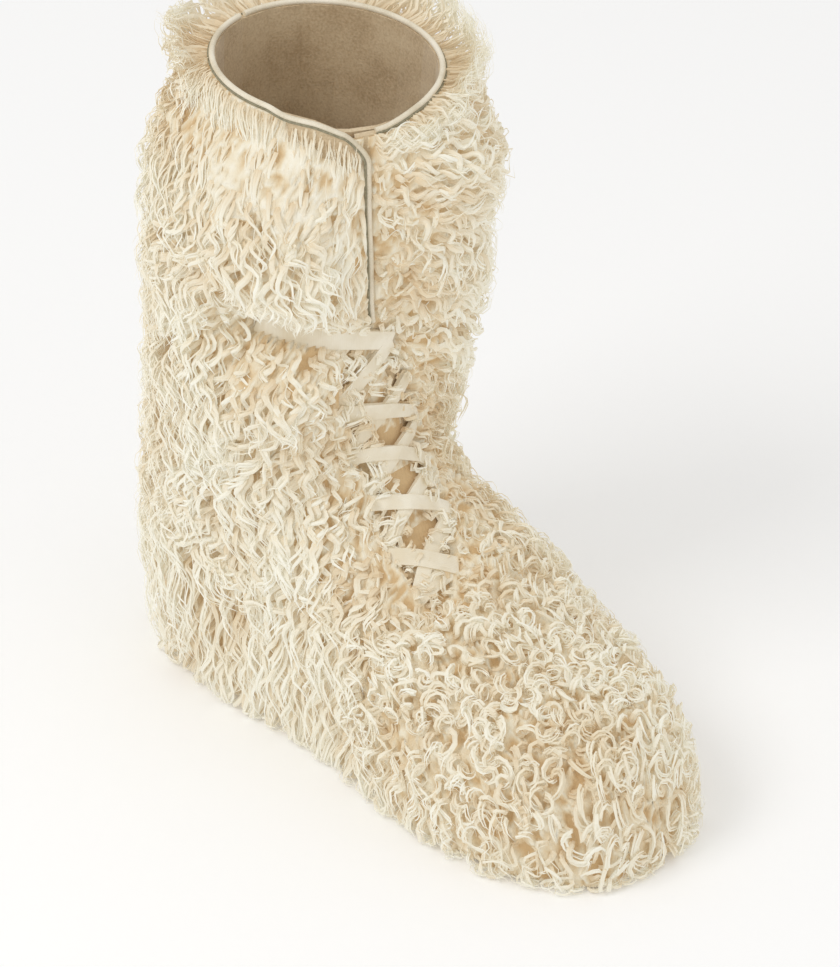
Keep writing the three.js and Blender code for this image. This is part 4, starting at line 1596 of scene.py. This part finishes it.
        total = self.rows + self.inner_rows
        faces = [band(i, i + 1, False) for i in range(self.rows - 1)]
        faces += [band(i, i + 1, True) for i in range(self.rows, total - 1)]
        faces += [band(self.rows - 1, total - 1, False), band(0, self.rows, True)]
        return np.concatenate(faces)


@dataclass
class Piping:
    """Cream piping along the collar's rim and down the lap's free edge, with a dark edge line that is
    partly painted shadow.
    """

    radius: float = 1.3
    line_radius: float = 0.5
    line_aside: float = 1.45
    rim_lift: float = 1.0
    line_drop: float = 0.5
    lap_offset: float = 1.95
    lap_root: float = -24.0
    edge_lift: float = 2.7
    edge_aside: float = 1.6
    edge_rise: float = 0.6
    turn_in: float = 0.25
    medial_ends: Band = (0.02, 0.12)
    lateral_ends: Band = (0.04, 0.14)
    edge_end: float = 15.5
    edge_shares: tuple[float, ...] = (0.07, 0.13, 0.2, 0.4, 0.6, 0.8, 0.93, 1.0)
    steps: int = 40
    smoothness: int = 4

    def build(self, finishes: dict[str, bpy.types.Material]) -> None:
        """Makes both lengths of piping and the dark edge line, partly painted shadow, on the wool side of
        each.

        Args:
            finishes: The finishes by name.
        """
        for side, route in (("medial", self._medial), ("lateral", self._lateral)):
            self._tube(f"piping_{side}", route(0.0), self.radius, finishes["piping"], f"binding_{side}")
        for side, route in (("medial", self._medial), ("lateral", self._lateral)):
            line = route(self.line_aside)
            self._tube(f"edge_line_and_shadow_{side}", line, self.line_radius, finishes["edge_line_and_shadow"])

    def _on_rim(self, angle: Array, offset: Array, aside: float) -> Array:
        """Route along the collar's rim, a line beside it a little lower."""
        point = LAST.surface(LAST.rim(angle), angle, offset + aside)
        return point + np.array([0, 0, self.rim_lift - self.line_drop * aside])

    def _medial(self, aside: float) -> Array:
        """Route round the inner side and down the lap's free edge.

        Args:
            aside: Distance of a line beside the piping, or nothing for the piping.

        Returns:
            Points of the route.
        """
        root, free = LAST.collar_angle(self.lap_root), LAST.collar_angle(LAST.lap_overhang)
        angle = np.linspace(self.medial_ends[0], free - self.medial_ends[1], self.steps)
        on_lap = rise((root - self.turn_in, root), angle)
        rim = self._on_rim(angle, -LAST.wall / 2 * (1 - on_lap) + self.lap_offset * on_lap, aside)
        start = float(LAST.rim(free))
        station = start - (start - self.edge_end) * np.array(self.edge_shares)
        across = np.full(station.shape, LAST.lap_overhang + self.edge_aside - aside)
        lift = np.full(station.shape, self.edge_lift + self.edge_rise * aside)
        return np.concatenate([rim, LAST.surface(station, LAST.angle_at(station, across), lift)])

    def _lateral(self, aside: float) -> Array:
        """Route round the outer side to the notch.

        Args:
            aside: Distance of a line beside the piping, or nothing for the piping.

        Returns:
            Points of the route.
        """
        start = LAST.collar_angle(LAST.lap_overhang) + self.lateral_ends[1]
        angle = np.linspace(TURN - self.lateral_ends[0], start, self.steps)
        return self._on_rim(angle, np.full(angle.shape, -LAST.wall / 2), aside)

    def _tube(self, name: str, route: Array, radius: float, finish: bpy.types.Material,
              *nodes: str) -> None:
        """Bends a round tube along a route and makes it a mesh.

        Args:
            name: The piece's name.
            route: Points of its middle line.
            radius: Its radius.
            finish: Its finish.
            nodes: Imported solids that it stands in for.
        """
        deselect()
        bpy.ops.curve.primitive_nurbs_path_add(location=(0, 0, 0))
        curve = bpy.context.object
        curve.name = name
        spline = curve.data.splines[0]
        spline.points.add(len(route) - len(spline.points))
        spline.points.foreach_set("co", np.concatenate([route * MM, np.ones((len(route), 1))], 1).ravel())
        spline.order_u = 3
        spline.use_endpoint_u = True
        curve.data.bevel_depth = radius * MM
        curve.data.bevel_resolution = self.smoothness
        curve.data.resolution_u = self.smoothness
        curve.data.use_fill_caps = True
        bpy.ops.object.convert(target="MESH")
        bpy.ops.object.shade_smooth()
        settle(bpy.context.object, finish, "piping", *nodes)


@dataclass(frozen=True)
class Solids:
    """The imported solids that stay: the sole, the insole, the upper, the tongue and the lace."""

    outsole: str = "sole_rubber"
    insole: str = "insole_pile"
    upper: str = "suede"
    tongue: str = "suede"
    lace: str = "lace_weave"

    def dress(self, nodes: dict[str, bpy.types.Object], finishes: dict[str, bpy.types.Material]) -> None:
        """Gives each solid its finish.

        Args:
            nodes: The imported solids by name.
            finishes: The finishes by name.
        """
        for name, finish in vars(self).items():
            for slot in nodes[name].material_slots:
                slot.material = finishes[finish]
            LOG.info("%s: finish %s", name, finish)


def main() -> None:
    """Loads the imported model, sets the stage and dresses the boot."""
    logging.basicConfig(level=logging.INFO, format="%(name)s %(message)s")
    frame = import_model()
    Stage().build()
    finishes = make_finishes()
    Solids().dress(frame["nodes"], finishes)
    Underfur().build(finishes["underfur"])
    Wool().build(finishes["wool_strand"])
    Piping().build(finishes)


if __name__ == "__main__":
    main()
